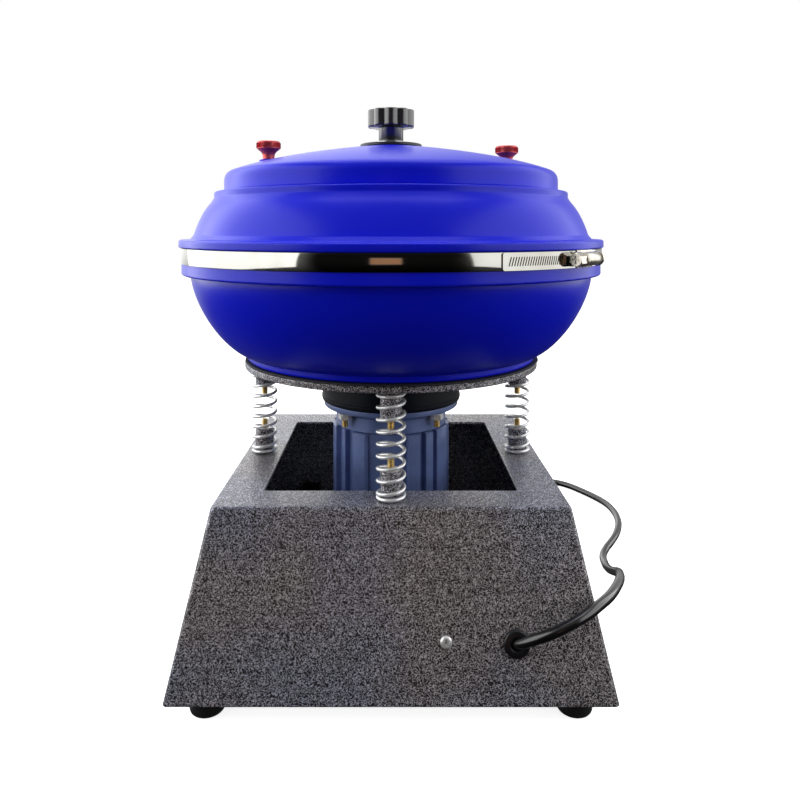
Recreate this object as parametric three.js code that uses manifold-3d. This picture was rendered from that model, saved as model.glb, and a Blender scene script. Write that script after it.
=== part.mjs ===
// Vibratory rock tumbler: a covered round bowl and its motor stand on four springs over a tapered steel base.
// Millimetres, +Z up, origin on the floor under the middle of the base. The front faces -Y.
import * as THREE from 'three';
import { mergeVertices } from 'three/addons/utils/BufferGeometryUtils.js';
import Module from 'manifold-3d';

const wasm = await Module();
wasm.setup();

// ---------------------------------------------------------------- driving dimensions
const GAP = 0.3; // clearance between pieces that touch or turn in each other

const FOOT_RADIUS = 13;
const FOOT_HEIGHT = 17.7;
const FOOT_INSET = 26; // from the base's bottom edge to the foot's centre
const FOOT_RECESS_RADIUS = 4.5;
const FOOT_RECESS_DEPTH = 7;

const BASE_BOTTOM_WIDTH = 320;
const BASE_TOP_WIDTH = 266;
const BASE_HEIGHT = 129;
const BASE_SHEET = 2;
const BASE_CORNER_RADIUS = 6;
const BASE_TOP_BEND = 3;
const BASE_OPENING_WIDTH = 198;
const BASE_FLANGE_EDGE = 3; // of the bottom flange, inside the feet
const PAN_OVERLAP = 10; // of the bottom pan over the flange
const PAN_THICKNESS = 1.5;

const GROMMET_ACROSS = 89; // to the right of the middle of the front face
const GROMMET_HEIGHT = 58;
const CORD_DIAMETER = 7.5;
const GROMMET_WALL = 3.65; // round the cord
const GROMMET_LIP = 2; // over the edge of its hole
const GROMMET_FLANGE = 2.5;

const PANEL_SCREW_ACROSS = 39;
const PANEL_SCREW_HEIGHT = 59;
const PANEL_SCREW_RADIUS = 2;
const PANEL_SCREW_LENGTH = 14;
const PANEL_SCREW_HEAD_RADIUS = 4.35;
const CAPACITOR_RADIUS = 15;
const CAPACITOR_LENGTH = 50;
const CAPACITOR_STANDOFF = 6;

const SWITCH_ACROSS = 89; // to the right of the middle of the rear face, seen from behind
const SWITCH_HEIGHT = 60;
const SWITCH_LENGTH = 19;
const SWITCH_WIDTH = 13;
const SWITCH_DEPTH = 14;
const SWITCH_WALL = 0.9;
const SWITCH_BEZEL = 2;
const ROCKER_TILT = 10; // degrees either side of level

const SPRING_DIAMETER = 23; // outside
const SPRING_WIRE = 2.6;
const SPRING_HEIGHT = 83;
const SPRING_OPEN_TURNS = 8;
const POST_CLEARANCE = 0.7; // between a post and the inside of its spring
const POST_HEIGHT = 21;
const POST_BOLT_RADIUS = 3;
const LOWER_BOLT_REACH = 30; // above the base's top sheet
const UPPER_BOLT_REACH = 30; // below the deck plate
const BOLT_HEAD_HEIGHT = 4;
const BOLT_HEAD_FLATS = 10;

const DECK_THICKNESS = 5;
const DECK_EDGE = 4; // deck plate outside the springs
const GASKET_THICKNESS = 1.4;
const GASKET_HOLE_RADIUS = 13;
const GASKET_INSET = 0.5; // from the deck plate's edge

const WEIGHT_HOUSING_EDGE = 2.2; // outside the motor flange
const WEIGHT_HOUSING_WALL = 15;
const WEIGHT_HOUSING_HEIGHT = 32.4;
const MOTOR_FLANGE_EDGE = 5; // outside the bolt circle
const MOTOR_FLANGE_THICKNESS = 4.7;
const MOTOR_BOLT_OFFSET = 6; // from the motor's body to the bolt circle
const MOTOR_BOLT_RADIUS = 3;
const MOTOR_BOLT_TAIL = 12; // below the motor flange
const MOTOR_RADIUS = 53; // over the ribs
const MOTOR_RIB_DEPTH = 3;
const MOTOR_RIB_COUNT = 18;
const MOTOR_RIB_SHARE = 0.55; // of the pitch
const MOTOR_WALL = 4;
const MOTOR_LENGTH = 104; // of the ribbed housing
const BELL_HEIGHT = 16;
const BELL_WALL = 4;
const BEARING_RADIUS = 17.5;
const BEARING_WIDTH = 11;
const SHAFT_RADIUS = 7.5;
const ROTOR_RADIUS = 25.5;
const STACK_LENGTH = 50; // of the rotor and stator laminations
const WEIGHT_CLEARANCE = 6.2; // between the upper weight and its housing
const WEIGHT_THICKNESS = 18;
const WEIGHT_HUB_RADIUS = 14;
const WEIGHT_SPREAD = 170; // degrees that an eccentric weight covers

const BOWL_FLANGE_RADIUS = 185;
const BOWL_FOOT_INSET = 2.5; // from the deck plate's edge to the bowl's foot
const BOWL_FOOT_HEIGHT = 5;
const BELLY_HEIGHT = 69;
const BELLY_INSET = 7.5; // from the flange's edge to the top of the belly
const BELLY_ROUNDNESS = 1.5; // exponent of the belly's outline: 1 is a cone and 2 an ellipse
const LOWER_FLANGE_HEIGHT = 16;
const UPPER_FLANGE_HEIGHT = 6.8;
const BOWL_WALL = 6;
const LIP_OVERHANG = 2.5;
const LIP_HEIGHT = 6.5;
const SHOULDER_HEIGHT = 41; // from the lip to the rim of the mouth
const RIM_INSET = 27; // from the flange's edge to the rim of the mouth
const MOUTH_LEDGE = 13; // from the rim's edge to the mouth
const COLUMN_TOP_WALL = 9.2; // round the rod
const COLUMN_BASE_RADIUS = 34;
const COLUMN_WALL = 5;
const ROD_RADIUS = 5;
const ROD_TOP_REACH = 26; // above the lid
const ROD_COLLAR_WIDTH = 6;
const ROD_COLLAR_HEIGHT = 7;

const BAND_THICKNESS = 0.8;
const BAND_WIDTH = 13;
const WORM_HOUSING_ANGLE = 51.5; // degrees round from the front towards +X
const WORM_HOUSING_LENGTH = 28;
const WORM_RADIUS = 3.8;
const WORM_HEAD_RADIUS = 4.5;
const WORM_HEAD_LENGTH = 14;

const LID_OVERHANG = 4.6; // the lid's side wall stands this far outside the mouth
const LID_SIDE_HEIGHT = 9.3;
const LID_SHOULDER = 9;
const LID_CROWN = 42.3; // from the rim to the top of the lid
const LID_FLAT_RADIUS = 29;
const LID_WALL = 5;
const SPIGOT_DEPTH = 7;
const SPIGOT_WALL = 5;

const PRESSURE_DISC_RADIUS = 28.3;
const PRESSURE_DISC_THICKNESS = 3;
const KNOB_WASHER_RADIUS = 14.5;
const KNOB_WASHER_THICKNESS = 2.4;
const KNOB_HUB_WALL = 6.1; // round the rod
const KNOB_HUB_HEIGHT = 13;
const KNOB_RADIUS = 21.85;
const KNOB_HEIGHT = 15.6;
const KNOB_LOBES = 10;
const KNOB_LOBE_DEPTH = 2.2;

const THUMB_SCREW_INSET = 38.66; // from the lid's edge
const THUMB_SCREW_ANGLE = 9.547; // degrees the left one is forward; the right one is opposite it
const THUMB_HEAD_RADIUS = 10.85;
const THUMB_HEAD_HEIGHT = 6.5;
const THUMB_HEIGHT = 16; // from the lid's boss to the top of the head
const THUMB_NECK_RADIUS = 5.25;
const THUMB_SHANK_RADIUS = 3;
const THUMB_SHANK_LENGTH = 14;
const BOSS_RADIUS = 8;

const COIL_CENTRE = [100, 262];
const COIL_TURNS_ACROSS = 2;
const COIL_TURNS_HIGH = 2;
const COIL_RADIUS = 42; // to the middle of the turns
const PLUG_LENGTH = 38;
const PLUG_WIDTH = 30;
const PLUG_HEIGHT = 21.5;
const PLUG_RELIEF_LENGTH = 26;
const PLUG_BLADE_LENGTH = 17;

// The cord from the grommet, round the base's right front corner and over the floor to its coil.
const CORD_ROUTE = [
  [90.5, -154.6, 59.3], [99.4, -160.5, 65.6], [109.7, -164, 71.3], [119.6, -164.7, 76.2],
  [128.5, -162.9, 79.9], [138, -158.2, 82.5], [148, -149.4, 83.8], [158.7, -136.2, 82.7],
  [169.5, -117.6, 79.7], [180.4, -93.8, 75], [188.9, -66.1, 66.4], [196.5, -36.7, 53.5],
  [203.4, -6.1, 39.2], [210.1, 24.6, 25.5], [216.4, 53.6, 13.4], [221.2, 79.9, 5.5], [225.5, 102.3, 3.75],
  [233.7, 119.3, 3.75], [245.1, 136.9, 3.75], [258.5, 160.5, 3.75], [269.8, 189.8, 3.75],
  [274.3, 220.3, 3.75], [272.1, 246.9, 3.75], [263.6, 270, 3.75], [252.3, 291.6, 3.75],
  [240.9, 309.5, 3.75], [228.6, 320.8, 3.75], [212.5, 326.5, 3.75], [192.1, 326.6, 3.75],
  [168.7, 322.6, 3.75], [143.7, 316.1, 3.75], [118, 307.75, 3.75],
];

// ---------------------------------------------------------------- levels and radii that follow
const SHELL_BOTTOM = FOOT_HEIGHT + GAP;
const SHELL_TOP = SHELL_BOTTOM + BASE_HEIGHT;
const SLOPE = Math.atan((BASE_BOTTOM_WIDTH - BASE_TOP_WIDTH) / 2 / BASE_HEIGHT);
const BASE_BOTTOM_FLANGE = FOOT_INSET + FOOT_RADIUS + BASE_FLANGE_EDGE;
const GROMMET_HOLE_RADIUS = CORD_DIAMETER / 2 + GROMMET_WALL + 2 * GAP;
const GROMMET_RADIUS = GROMMET_HOLE_RADIUS + GROMMET_LIP;
const SPRING_CIRCLE = (BASE_OPENING_WIDTH + BASE_TOP_WIDTH) / 4;
const DECK_BOTTOM = SHELL_TOP + SPRING_HEIGHT;
const DECK_TOP = DECK_BOTTOM + DECK_THICKNESS;
const DECK_RADIUS = SPRING_CIRCLE + SPRING_DIAMETER / 2 + DECK_EDGE;
const POST_RADIUS = SPRING_DIAMETER / 2 - SPRING_WIRE - POST_CLEARANCE;
const GASKET_TOP = DECK_TOP + GAP + GASKET_THICKNESS;

const HOUSING_TOP = DECK_BOTTOM - GAP;
const HOUSING_BOTTOM = HOUSING_TOP - WEIGHT_HOUSING_HEIGHT;
const FLANGE_TOP = HOUSING_BOTTOM - GAP;
const FLANGE_BOTTOM = FLANGE_TOP - MOTOR_FLANGE_THICKNESS;
const MOTOR_TOP = FLANGE_BOTTOM - BELL_HEIGHT;
const MOTOR_BOTTOM = MOTOR_TOP - GAP - MOTOR_LENGTH;
const MOTOR_BODY_RADIUS = MOTOR_RADIUS - MOTOR_RIB_DEPTH;
const MOTOR_BORE_RADIUS = MOTOR_BODY_RADIUS - MOTOR_WALL;
const MOTOR_BOLT_CIRCLE = MOTOR_BODY_RADIUS + MOTOR_BOLT_OFFSET;
const MOTOR_FLANGE_RADIUS = MOTOR_BOLT_CIRCLE + MOTOR_FLANGE_EDGE;
const WEIGHT_HOUSING_RADIUS = MOTOR_FLANGE_RADIUS + WEIGHT_HOUSING_EDGE;
const WEIGHT_RADIUS = WEIGHT_HOUSING_RADIUS - WEIGHT_HOUSING_WALL - WEIGHT_CLEARANCE;
const LOWER_BELL_TOP = MOTOR_BOTTOM - GAP;
const LOWER_BELL_BOTTOM = LOWER_BELL_TOP - BELL_HEIGHT;
const STACK_MIDDLE = (MOTOR_TOP + MOTOR_BOTTOM) / 2;

const BOWL_BOTTOM = GASKET_TOP + GAP;
const BOWL_FOOT_RADIUS = DECK_RADIUS - BOWL_FOOT_INSET;
const BELLY_BOTTOM = BOWL_BOTTOM + BOWL_FOOT_HEIGHT;
const BELLY_TOP = BELLY_BOTTOM + BELLY_HEIGHT;
const BELLY_RADIUS = BOWL_FLANGE_RADIUS - BELLY_INSET;
const LOWER_FLANGE_TOP = BELLY_TOP + 1.5 + LOWER_FLANGE_HEIGHT;
const UPPER_FLANGE_BOTTOM = LOWER_FLANGE_TOP + GAP;
const LIP_BOTTOM = UPPER_FLANGE_BOTTOM + UPPER_FLANGE_HEIGHT;
const LIP_RADIUS = BOWL_FLANGE_RADIUS + LIP_OVERHANG;
const LIP_TOP = LIP_BOTTOM + LIP_HEIGHT;
const RIM_TOP = LIP_TOP + SHOULDER_HEIGHT;
const RIM_RADIUS = BOWL_FLANGE_RADIUS - RIM_INSET;
const MOUTH_RADIUS = RIM_RADIUS - MOUTH_LEDGE;

const LID_BOTTOM = RIM_TOP + GAP;
const LID_RADIUS = MOUTH_RADIUS + LID_OVERHANG;
const LID_TOP = RIM_TOP + LID_CROWN;
const COLUMN_TOP = LID_TOP - LID_WALL - GAP;
const ROD_BORE_RADIUS = ROD_RADIUS + GAP;
const ROD_COLLAR_RADIUS = ROD_RADIUS + ROD_COLLAR_WIDTH;
const COLUMN_TOP_RADIUS = ROD_BORE_RADIUS + COLUMN_TOP_WALL;
const KNOB_HUB_RADIUS = ROD_BORE_RADIUS + KNOB_HUB_WALL;
const ROD_TOP = LID_TOP + ROD_TOP_REACH;
const DISC_BOTTOM = LID_TOP + GAP;
const WASHER_TOP = DISC_BOTTOM + PRESSURE_DISC_THICKNESS + KNOB_WASHER_THICKNESS;
const KNOB_BOTTOM = WASHER_TOP + GAP;
const STAR_BOTTOM = KNOB_BOTTOM + KNOB_HUB_HEIGHT;
const BAND_BOTTOM = LIP_BOTTOM - GAP - BAND_WIDTH;
const BAND_RADIUS = BOWL_FLANGE_RADIUS + GAP;

const COIL_OUTER_RADIUS = COIL_RADIUS + (COIL_TURNS_ACROSS * CORD_DIAMETER) / 2;
const COIL_INNER_RADIUS = COIL_RADIUS - (COIL_TURNS_ACROSS * CORD_DIAMETER) / 2;
const COIL_HEIGHT = COIL_TURNS_HIGH * CORD_DIAMETER;

const LARGE = 28; // sides of the bowls, the lid and the deck
const MEDIUM = 16;
const SMALL = 10;

// ---------------------------------------------------------------- shape helpers
function rad(degrees) {
  return (degrees * Math.PI) / 180;
}

// A closed triangle mesh as a solid, with its faces turned outwards.
function solidFrom(geometry) {
  geometry.deleteAttribute('normal');
  geometry.deleteAttribute('uv');
  const merged = mergeVertices(geometry, 1e-4);
  const points = merged.attributes.position.array;
  const corner = (i) => new THREE.Vector3(points[3 * i], points[3 * i + 1], points[3 * i + 2]);
  const triangles = [];
  let volume = 0;
  for (let i = 0; i < merged.index.count; i += 3) {
    const [a, b, c] = [0, 1, 2].map((k) => merged.index.getX(i + k));
    if (a !== b && b !== c && c !== a) {
      triangles.push(a, b, c);
      volume += corner(a).dot(corner(b).cross(corner(c)));
    }
  }
  if (volume < 0) triangles.reverse();
  const mesh = new wasm.Mesh({
    numProp: 3,
    vertProperties: new Float32Array(points),
    triVerts: new Uint32Array(triangles),
  });
  return new wasm.Manifold(mesh);
}

function geometryFrom(solid) {
  const { vertProperties, triVerts } = solid.getMesh();
  const geometry = new THREE.BufferGeometry();
  geometry.setAttribute('position', new THREE.BufferAttribute(new Float32Array(vertProperties), 3));
  geometry.setIndex(new THREE.BufferAttribute(new Uint32Array(triVerts), 1));
  geometry.computeVertexNormals();
  return geometry;
}

// A turned solid about +Z from its outline of [radius, height] points.
function turned(outline, sides = MEDIUM) {
  const onAxis = outline[0][0] === 0 && outline.at(-1)[0] === 0;
  const closed = onAxis ? outline : [...outline, outline[0]];
  const geometry = new THREE.LatheGeometry(closed.map(([r, z]) => new THREE.Vector2(r, z)), sides);
  return solidFrom(geometry.rotateX(Math.PI / 2));
}

function cylinder(radius, bottom, top, sides = MEDIUM) {
  return turned([[0, bottom], [radius, bottom], [radius, top], [0, top]], sides);
}

function ring(inner, outer, bottom, top, sides = MEDIUM) {
  return turned([[inner, bottom], [outer, bottom], [outer, top], [inner, top]], sides);
}

function box(low, high) {
  const size = high.map((value, i) => value - low[i]);
  const geometry = new THREE.BoxGeometry(...size);
  geometry.translate(...low.map((value, i) => value + size[i] / 2));
  return solidFrom(geometry);
}

function prism(outline, bottom, top) {
  const shape = new THREE.Shape(outline.map(([x, y]) => new THREE.Vector2(x, y)));
  const geometry = new THREE.ExtrudeGeometry(shape, { depth: top - bottom, bevelEnabled: false });
  return solidFrom(geometry.translate(0, 0, bottom));
}

function hexagon(flats) {
  const radius = flats / Math.sqrt(3);
  const angles = [0, 60, 120, 180, 240, 300].map(rad);
  return angles.map((angle) => [radius * Math.cos(angle), radius * Math.sin(angle)]);
}

// A straight-sided loft between equal outlines, each given as [outline, height].
function loft(levels) {
  const count = levels[0][0].length;
  const points = levels.flatMap(([outline, z]) => outline.flatMap(([x, y]) => [x, y, z]));
  const triangles = [];
  for (let level = 0; level + 1 < levels.length; level += 1) {
    for (let i = 0; i < count; i += 1) {
      const a = level * count + i;
      const b = level * count + ((i + 1) % count);
      triangles.push(a, b, b + count, a, b + count, a + count);
    }
  }
  const last = (levels.length - 1) * count;
  for (let i = 1; i + 1 < count; i += 1) {
    triangles.push(0, i + 1, i, last, last + i, last + i + 1);
  }
  const geometry = new THREE.BufferGeometry();
  geometry.setAttribute('position', new THREE.Float32BufferAttribute(points, 3));
  geometry.setIndex(triangles);
  return solidFrom(geometry);
}

function roundedSquare(width, radius, steps = 3) {
  const outline = [];
  for (let corner = 0; corner < 4; corner += 1) {
    for (let i = 0; i <= steps; i += 1) {
      const angle = rad(90 * corner + (90 * i) / steps);
      const reach = width / 2 - radius;
      const x = Math.sign(Math.cos(rad(90 * corner + 45))) * reach + radius * Math.cos(angle);
      const y = Math.sign(Math.sin(rad(90 * corner + 45))) * reach + radius * Math.sin(angle);
      outline.push([x, y]);
    }
  }
  return outline;
}

// A solid round tube that follows a path.
function tube(path, radius, sides, steps) {
  const section = new THREE.Shape();
  for (let i = 0; i < sides; i += 1) {
    const angle = (2 * Math.PI * i) / sides;
    const [x, y] = [radius * Math.cos(angle), radius * Math.sin(angle)];
    if (i === 0) section.moveTo(x, y);
    else section.lineTo(x, y);
  }
  section.closePath();
  return solidFrom(new THREE.ExtrudeGeometry(section, { steps, extrudePath: path, bevelEnabled: false }));
}

function placed(solid, matrix) {
  return solidFrom(geometryFrom(solid).applyMatrix4(matrix));
}

function moved(solid, x, y, z = 0) {
  return placed(solid, new THREE.Matrix4().makeTranslation(x, y, z));
}

function turnedAbout(solid, axis, degrees) {
  return placed(solid, new THREE.Matrix4().makeRotationAxis(axis, rad(degrees)));
}

// Points of a quadratic curve from one outline point to the next, without the first.
function curveTo(from, control, to, steps) {
  const curve = new THREE.QuadraticBezierCurve(...[from, control, to].map((p) => new THREE.Vector2(...p)));
  return curve.getPoints(steps).slice(1).map((p) => [p.x, p.y]);
}

// ---------------------------------------------------------------- finishes
function finish(color, roughness, metalness) {
  return () => new THREE.MeshStandardMaterial({ color, roughness, metalness });
}

const hammertone = finish(0x3a3b40, 0.45, 0.6);
const brightSteel = finish(0xc9cbce, 0.25, 1);
const yellowZinc = finish(0xc9a04a, 0.35, 1);
const blackRubber = finish(0x161616, 0.8, 0);
const blackPlastic = finish(0x0d0d0e, 0.3, 0);
const blackPaint = finish(0x1b1c1f, 0.5, 0.3);
const motorPaint = finish(0x3f4a7a, 0.45, 0.4);
const bluePlastic = finish(0x1414b8, 0.4, 0);
const redAnodised = finish(0xc01522, 0.35, 0.6);
const castIron = finish(0x4a4b4e, 0.6, 0.8);
const copperWinding = finish(0x8f4b24, 0.5, 0.6);
const capacitorCase = finish(0xd8d6cc, 0.5, 0);
const cordSheath = finish(0x121213, 0.5, 0);
const mirrorSteel = finish(0xd5d8da, 0.12, 1);

const tumbler = new THREE.Group();

function add(name, solid, material, parent = tumbler) {
  const mesh = new THREE.Mesh(geometryFrom(solid), material());
  mesh.name = name;
  parent.add(mesh);
  return mesh;
}

// ---------------------------------------------------------------- the sloping faces of the base
function halfWidthAt(height) {
  return BASE_BOTTOM_WIDTH / 2 - (height - SHELL_BOTTOM) * Math.tan(SLOPE);
}

// A frame on a sloping face: X across it, Y up the slope and Z straight out of it.
function faceFrame(turn, across, height) {
  const upSlope = new THREE.Vector3(0, Math.sin(SLOPE), Math.cos(SLOPE));
  const outwards = new THREE.Vector3(0, -Math.cos(SLOPE), Math.sin(SLOPE));
  const basis = new THREE.Matrix4().makeBasis(new THREE.Vector3(1, 0, 0), upSlope, outwards);
  basis.setPosition(across, -halfWidthAt(height), height);
  return new THREE.Matrix4().makeRotationZ(rad(turn)).multiply(basis);
}

const grommetFrame = faceFrame(0, GROMMET_ACROSS, GROMMET_HEIGHT);
const panelScrewFrame = faceFrame(0, PANEL_SCREW_ACROSS, PANEL_SCREW_HEIGHT);
const switchFrame = faceFrame(180, SWITCH_ACROSS, SWITCH_HEIGHT);

// ---------------------------------------------------------------- base
function baseShell() {
  const bendInset = BASE_TOP_BEND * 0.7;
  const bendStart = SHELL_TOP - BASE_TOP_BEND;
  const outer = loft([
    [roundedSquare(BASE_BOTTOM_WIDTH, BASE_CORNER_RADIUS), SHELL_BOTTOM],
    [roundedSquare(2 * halfWidthAt(bendStart), BASE_CORNER_RADIUS), bendStart],
    [roundedSquare(BASE_TOP_WIDTH - 2 * bendInset, BASE_CORNER_RADIUS - 1), SHELL_TOP],
  ]);
  const wall = BASE_SHEET / Math.cos(SLOPE);
  const innerRadius = BASE_CORNER_RADIUS - BASE_SHEET;
  const [low, high] = [SHELL_BOTTOM + BASE_SHEET, SHELL_TOP - BASE_SHEET];
  const inner = loft([
    [roundedSquare(2 * (halfWidthAt(low) - wall), innerRadius), low],
    [roundedSquare(2 * (halfWidthAt(high) - wall) - 1, innerRadius), high],
  ]);
  const bottomHole = BASE_BOTTOM_WIDTH / 2 - BASE_BOTTOM_FLANGE;
  const [switchX, switchY] = [SWITCH_LENGTH / 2 + GAP, SWITCH_WIDTH / 2 + GAP];
  const opening = BASE_OPENING_WIDTH / 2;
  let shell = outer
    .subtract(inner)
    .subtract(box([-bottomHole, -bottomHole, SHELL_BOTTOM - 1], [bottomHole, bottomHole, low + 1]))
    .subtract(box([-opening, -opening, high - 1], [opening, opening, SHELL_TOP + 1]))
    .subtract(placed(cylinder(GROMMET_HOLE_RADIUS, -5, 5, SMALL), grommetFrame))
    .subtract(placed(cylinder(PANEL_SCREW_RADIUS + GAP, -5, 5, SMALL), panelScrewFrame))
    .subtract(placed(box([-switchX, -switchY, -5], [switchX, switchY, 5]), switchFrame));
  for (const [x, y] of springPlaces()) {
    shell = shell.subtract(moved(cylinder(POST_BOLT_RADIUS + GAP, high - 1, SHELL_TOP + 1, SMALL), x, y));
  }
  return shell;
}

function springPlaces() {
  return [[0, -1], [1, 0], [0, 1], [-1, 0]].map(([x, y]) => [x * SPRING_CIRCLE, y * SPRING_CIRCLE]);
}

function basePan() {
  const half = BASE_BOTTOM_WIDTH / 2 - BASE_BOTTOM_FLANGE + PAN_OVERLAP;
  const bottom = SHELL_BOTTOM + BASE_SHEET + GAP;
  return box([-half, -half, bottom], [half, half, bottom + PAN_THICKNESS]);
}

function foot() {
  return turned([
    [0, FOOT_RECESS_DEPTH], [FOOT_RECESS_RADIUS, FOOT_RECESS_DEPTH], [FOOT_RECESS_RADIUS, 0],
    [FOOT_RADIUS - 1, 0], [FOOT_RADIUS, 2], [FOOT_RADIUS, FOOT_HEIGHT], [0, FOOT_HEIGHT],
  ], 16);
}

function grommet() {
  const neck = GROMMET_HOLE_RADIUS - GAP;
  const bore = CORD_DIAMETER / 2 + GAP;
  const back = -BASE_SHEET - GAP;
  const innerLip = GROMMET_RADIUS - 0.6;
  return turned([
    [bore, back - GROMMET_FLANGE], [innerLip, back - GROMMET_FLANGE], [innerLip, back],
    [neck, back], [neck, GAP], [GROMMET_RADIUS, GAP],
    [GROMMET_RADIUS - 0.4, GAP + GROMMET_FLANGE * 0.7], [GROMMET_RADIUS - 2, GAP + GROMMET_FLANGE],
    [bore, GAP + GROMMET_FLANGE],
  ], SMALL);
}

function panelScrew() {
  const head = PANEL_SCREW_HEAD_RADIUS;
  return turned([
    [0, -PANEL_SCREW_LENGTH], [PANEL_SCREW_RADIUS, -PANEL_SCREW_LENGTH], [PANEL_SCREW_RADIUS, GAP],
    [head, GAP], [head * 0.94, GAP + 1.4], [head * 0.6, GAP + 2.4], [0, GAP + 2.7],
  ], SMALL);
}

// The running capacitor, on a threaded boss that the panel screw holds against the front panel.
function capacitor() {
  const face = -BASE_SHEET - GAP;
  const middle = face - CAPACITOR_STANDOFF - CAPACITOR_RADIUS;
  const can = turnedAbout(
    cylinder(CAPACITOR_RADIUS, -CAPACITOR_LENGTH / 2, CAPACITOR_LENGTH / 2, 20),
    new THREE.Vector3(0, 1, 0),
    90,
  );
  const boss = cylinder(PANEL_SCREW_RADIUS + 4, face - CAPACITOR_STANDOFF - 3, face, SMALL);
  const bore = cylinder(PANEL_SCREW_RADIUS + GAP, -PANEL_SCREW_LENGTH - 1, face + 1, SMALL);
  return moved(can, 0, 0, middle).add(boss).subtract(bore);
}

function switchHousing() {
  const [halfLength, halfWidth] = [SWITCH_LENGTH / 2, SWITCH_WIDTH / 2];
  const top = GAP + SWITCH_BEZEL;
  const bezel = box([-halfLength - 1.5, -halfWidth - 1.5, GAP], [halfLength + 1.5, halfWidth + 1.5, top]);
  const body = box([-halfLength, -halfWidth, -SWITCH_DEPTH], [halfLength, halfWidth, GAP + 0.5]);
  const pocket = box(
    [-halfLength + SWITCH_WALL, -halfWidth + SWITCH_WALL, -7],
    [halfLength - SWITCH_WALL, halfWidth - SWITCH_WALL, top + 1],
  );
  return bezel.add(body).subtract(pocket);
}

// The rocker is a shallow V on its pivot, drawn tipped to the off side.
function switchRocker() {
  const reach = SWITCH_LENGTH / 2 - SWITCH_WALL - GAP - 0.6;
  const halfWidth = SWITCH_WIDTH / 2 - SWITCH_WALL - GAP;
  const side = [[-reach, 3.4], [-reach, 1.2], [0, -4], [reach, 1.2], [reach, 3.4], [0, 1.9]];
  const level = turnedAbout(prism(side, -halfWidth, halfWidth), new THREE.Vector3(1, 0, 0), 90);
  return turnedAbout(level, new THREE.Vector3(0, 1, 0), ROCKER_TILT);
}

const CORNERS = { front_left: [-1, -1], front_right: [1, -1], rear_left: [-1, 1], rear_right: [1, 1] };
const SIDES = ['front', 'right', 'rear', 'left'];

add('base_shell', baseShell(), hammertone);
add('base_pan', basePan(), hammertone);
const footReach = BASE_BOTTOM_WIDTH / 2 - FOOT_INSET;
for (const [corner, [x, y]] of Object.entries(CORNERS)) {
  const mesh = add(`foot_${corner}`, foot(), blackRubber);
  mesh.position.set(x * footReach, y * footReach, 0);
}
add('cord_grommet', placed(grommet(), grommetFrame), blackRubber);
add('panel_screw', placed(panelScrew(), panelScrewFrame), brightSteel);
add('capacitor', placed(capacitor(), panelScrewFrame), capacitorCase);
add('switch_housing', placed(switchHousing(), switchFrame), blackPlastic);
add('switch_rocker', placed(switchRocker(), switchFrame), blackPlastic);

// ---------------------------------------------------------------- springs and their posts
class SpringPath extends THREE.Curve {
  constructor(radius, bottom, top) {
    super();
    this.radius = radius;
    this.bottom = bottom;
    this.height = top - bottom;
  }

  // One closed turn lies flat at each end, and the open turns share the rest of the height.
  getPoint(t, target = new THREE.Vector3()) {
    const turns = SPRING_OPEN_TURNS + 2;
    const turn = t * turns;
    const closedPitch = SPRING_WIRE + GAP;
    const openPitch = (this.height - 2 * closedPitch) / SPRING_OPEN_TURNS;
    const openTurns = Math.min(Math.max(turn - 1, 0), SPRING_OPEN_TURNS);
    const z = this.bottom + (turn - openTurns) * closedPitch + openTurns * openPitch;
    const angle = 2 * Math.PI * turn;
    return target.set(this.radius * Math.cos(angle), this.radius * Math.sin(angle), z);
  }
}

const SPRING_STEPS_PER_TURN = 8;
const wireSide = SPRING_WIRE / 2;
const wireRadius = (SPRING_DIAMETER / 2 - wireSide) / Math.cos(Math.PI / SPRING_STEPS_PER_TURN / 2);
const springPath = new SpringPath(wireRadius, SHELL_TOP + GAP + wireSide, DECK_BOTTOM - GAP - wireSide);
const springSteps = (SPRING_OPEN_TURNS + 2) * SPRING_STEPS_PER_TURN;
const springSolid = tube(springPath, wireSide, 4, springSteps);

// A round post with a bore for its bolt.
function post(bottom, top) {
  return ring(POST_BOLT_RADIUS + GAP, POST_RADIUS, bottom, top, SMALL);
}

function lowerBolt() {
  const headTop = SHELL_TOP - BASE_SHEET - GAP;
  const head = prism(hexagon(BOLT_HEAD_FLATS), headTop - BOLT_HEAD_HEIGHT, headTop);
  return head.add(cylinder(POST_BOLT_RADIUS, headTop - 1, SHELL_TOP + LOWER_BOLT_REACH, SMALL));
}

// The upper bolt is countersunk into the deck plate.
function upperBolt() {
  const top = DECK_TOP - GAP;
  const tip = DECK_BOTTOM - UPPER_BOLT_REACH;
  return turned([
    [0, tip], [POST_BOLT_RADIUS, tip], [POST_BOLT_RADIUS, top - POST_BOLT_RADIUS],
    [2 * POST_BOLT_RADIUS, top], [0, top],
  ], SMALL);
}

springPlaces().forEach(([x, y], i) => {
  const pieces = [
    add(`lower_post_${SIDES[i]}`, post(SHELL_TOP + GAP, SHELL_TOP + GAP + POST_HEIGHT), hammertone),
    add(`lower_bolt_${SIDES[i]}`, lowerBolt(), yellowZinc),
    add(`spring_${SIDES[i]}`, springSolid, brightSteel),
    add(`upper_post_${SIDES[i]}`, post(DECK_BOTTOM - GAP - POST_HEIGHT, DECK_BOTTOM - GAP), hammertone),
    add(`upper_bolt_${SIDES[i]}`, upperBolt(), yellowZinc),
  ];
  pieces.forEach((mesh) => mesh.position.set(x, y, 0));
});

// ---------------------------------------------------------------- deck
function motorBoltPlaces() {
  return [45, 135, 225, 315].map((angle) => [
    MOTOR_BOLT_CIRCLE * Math.cos(rad(angle)), MOTOR_BOLT_CIRCLE * Math.sin(rad(angle)),
  ]);
}

const MOTOR_BOLT_TOP = DECK_BOTTOM + DECK_THICKNESS * 0.6;

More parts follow.
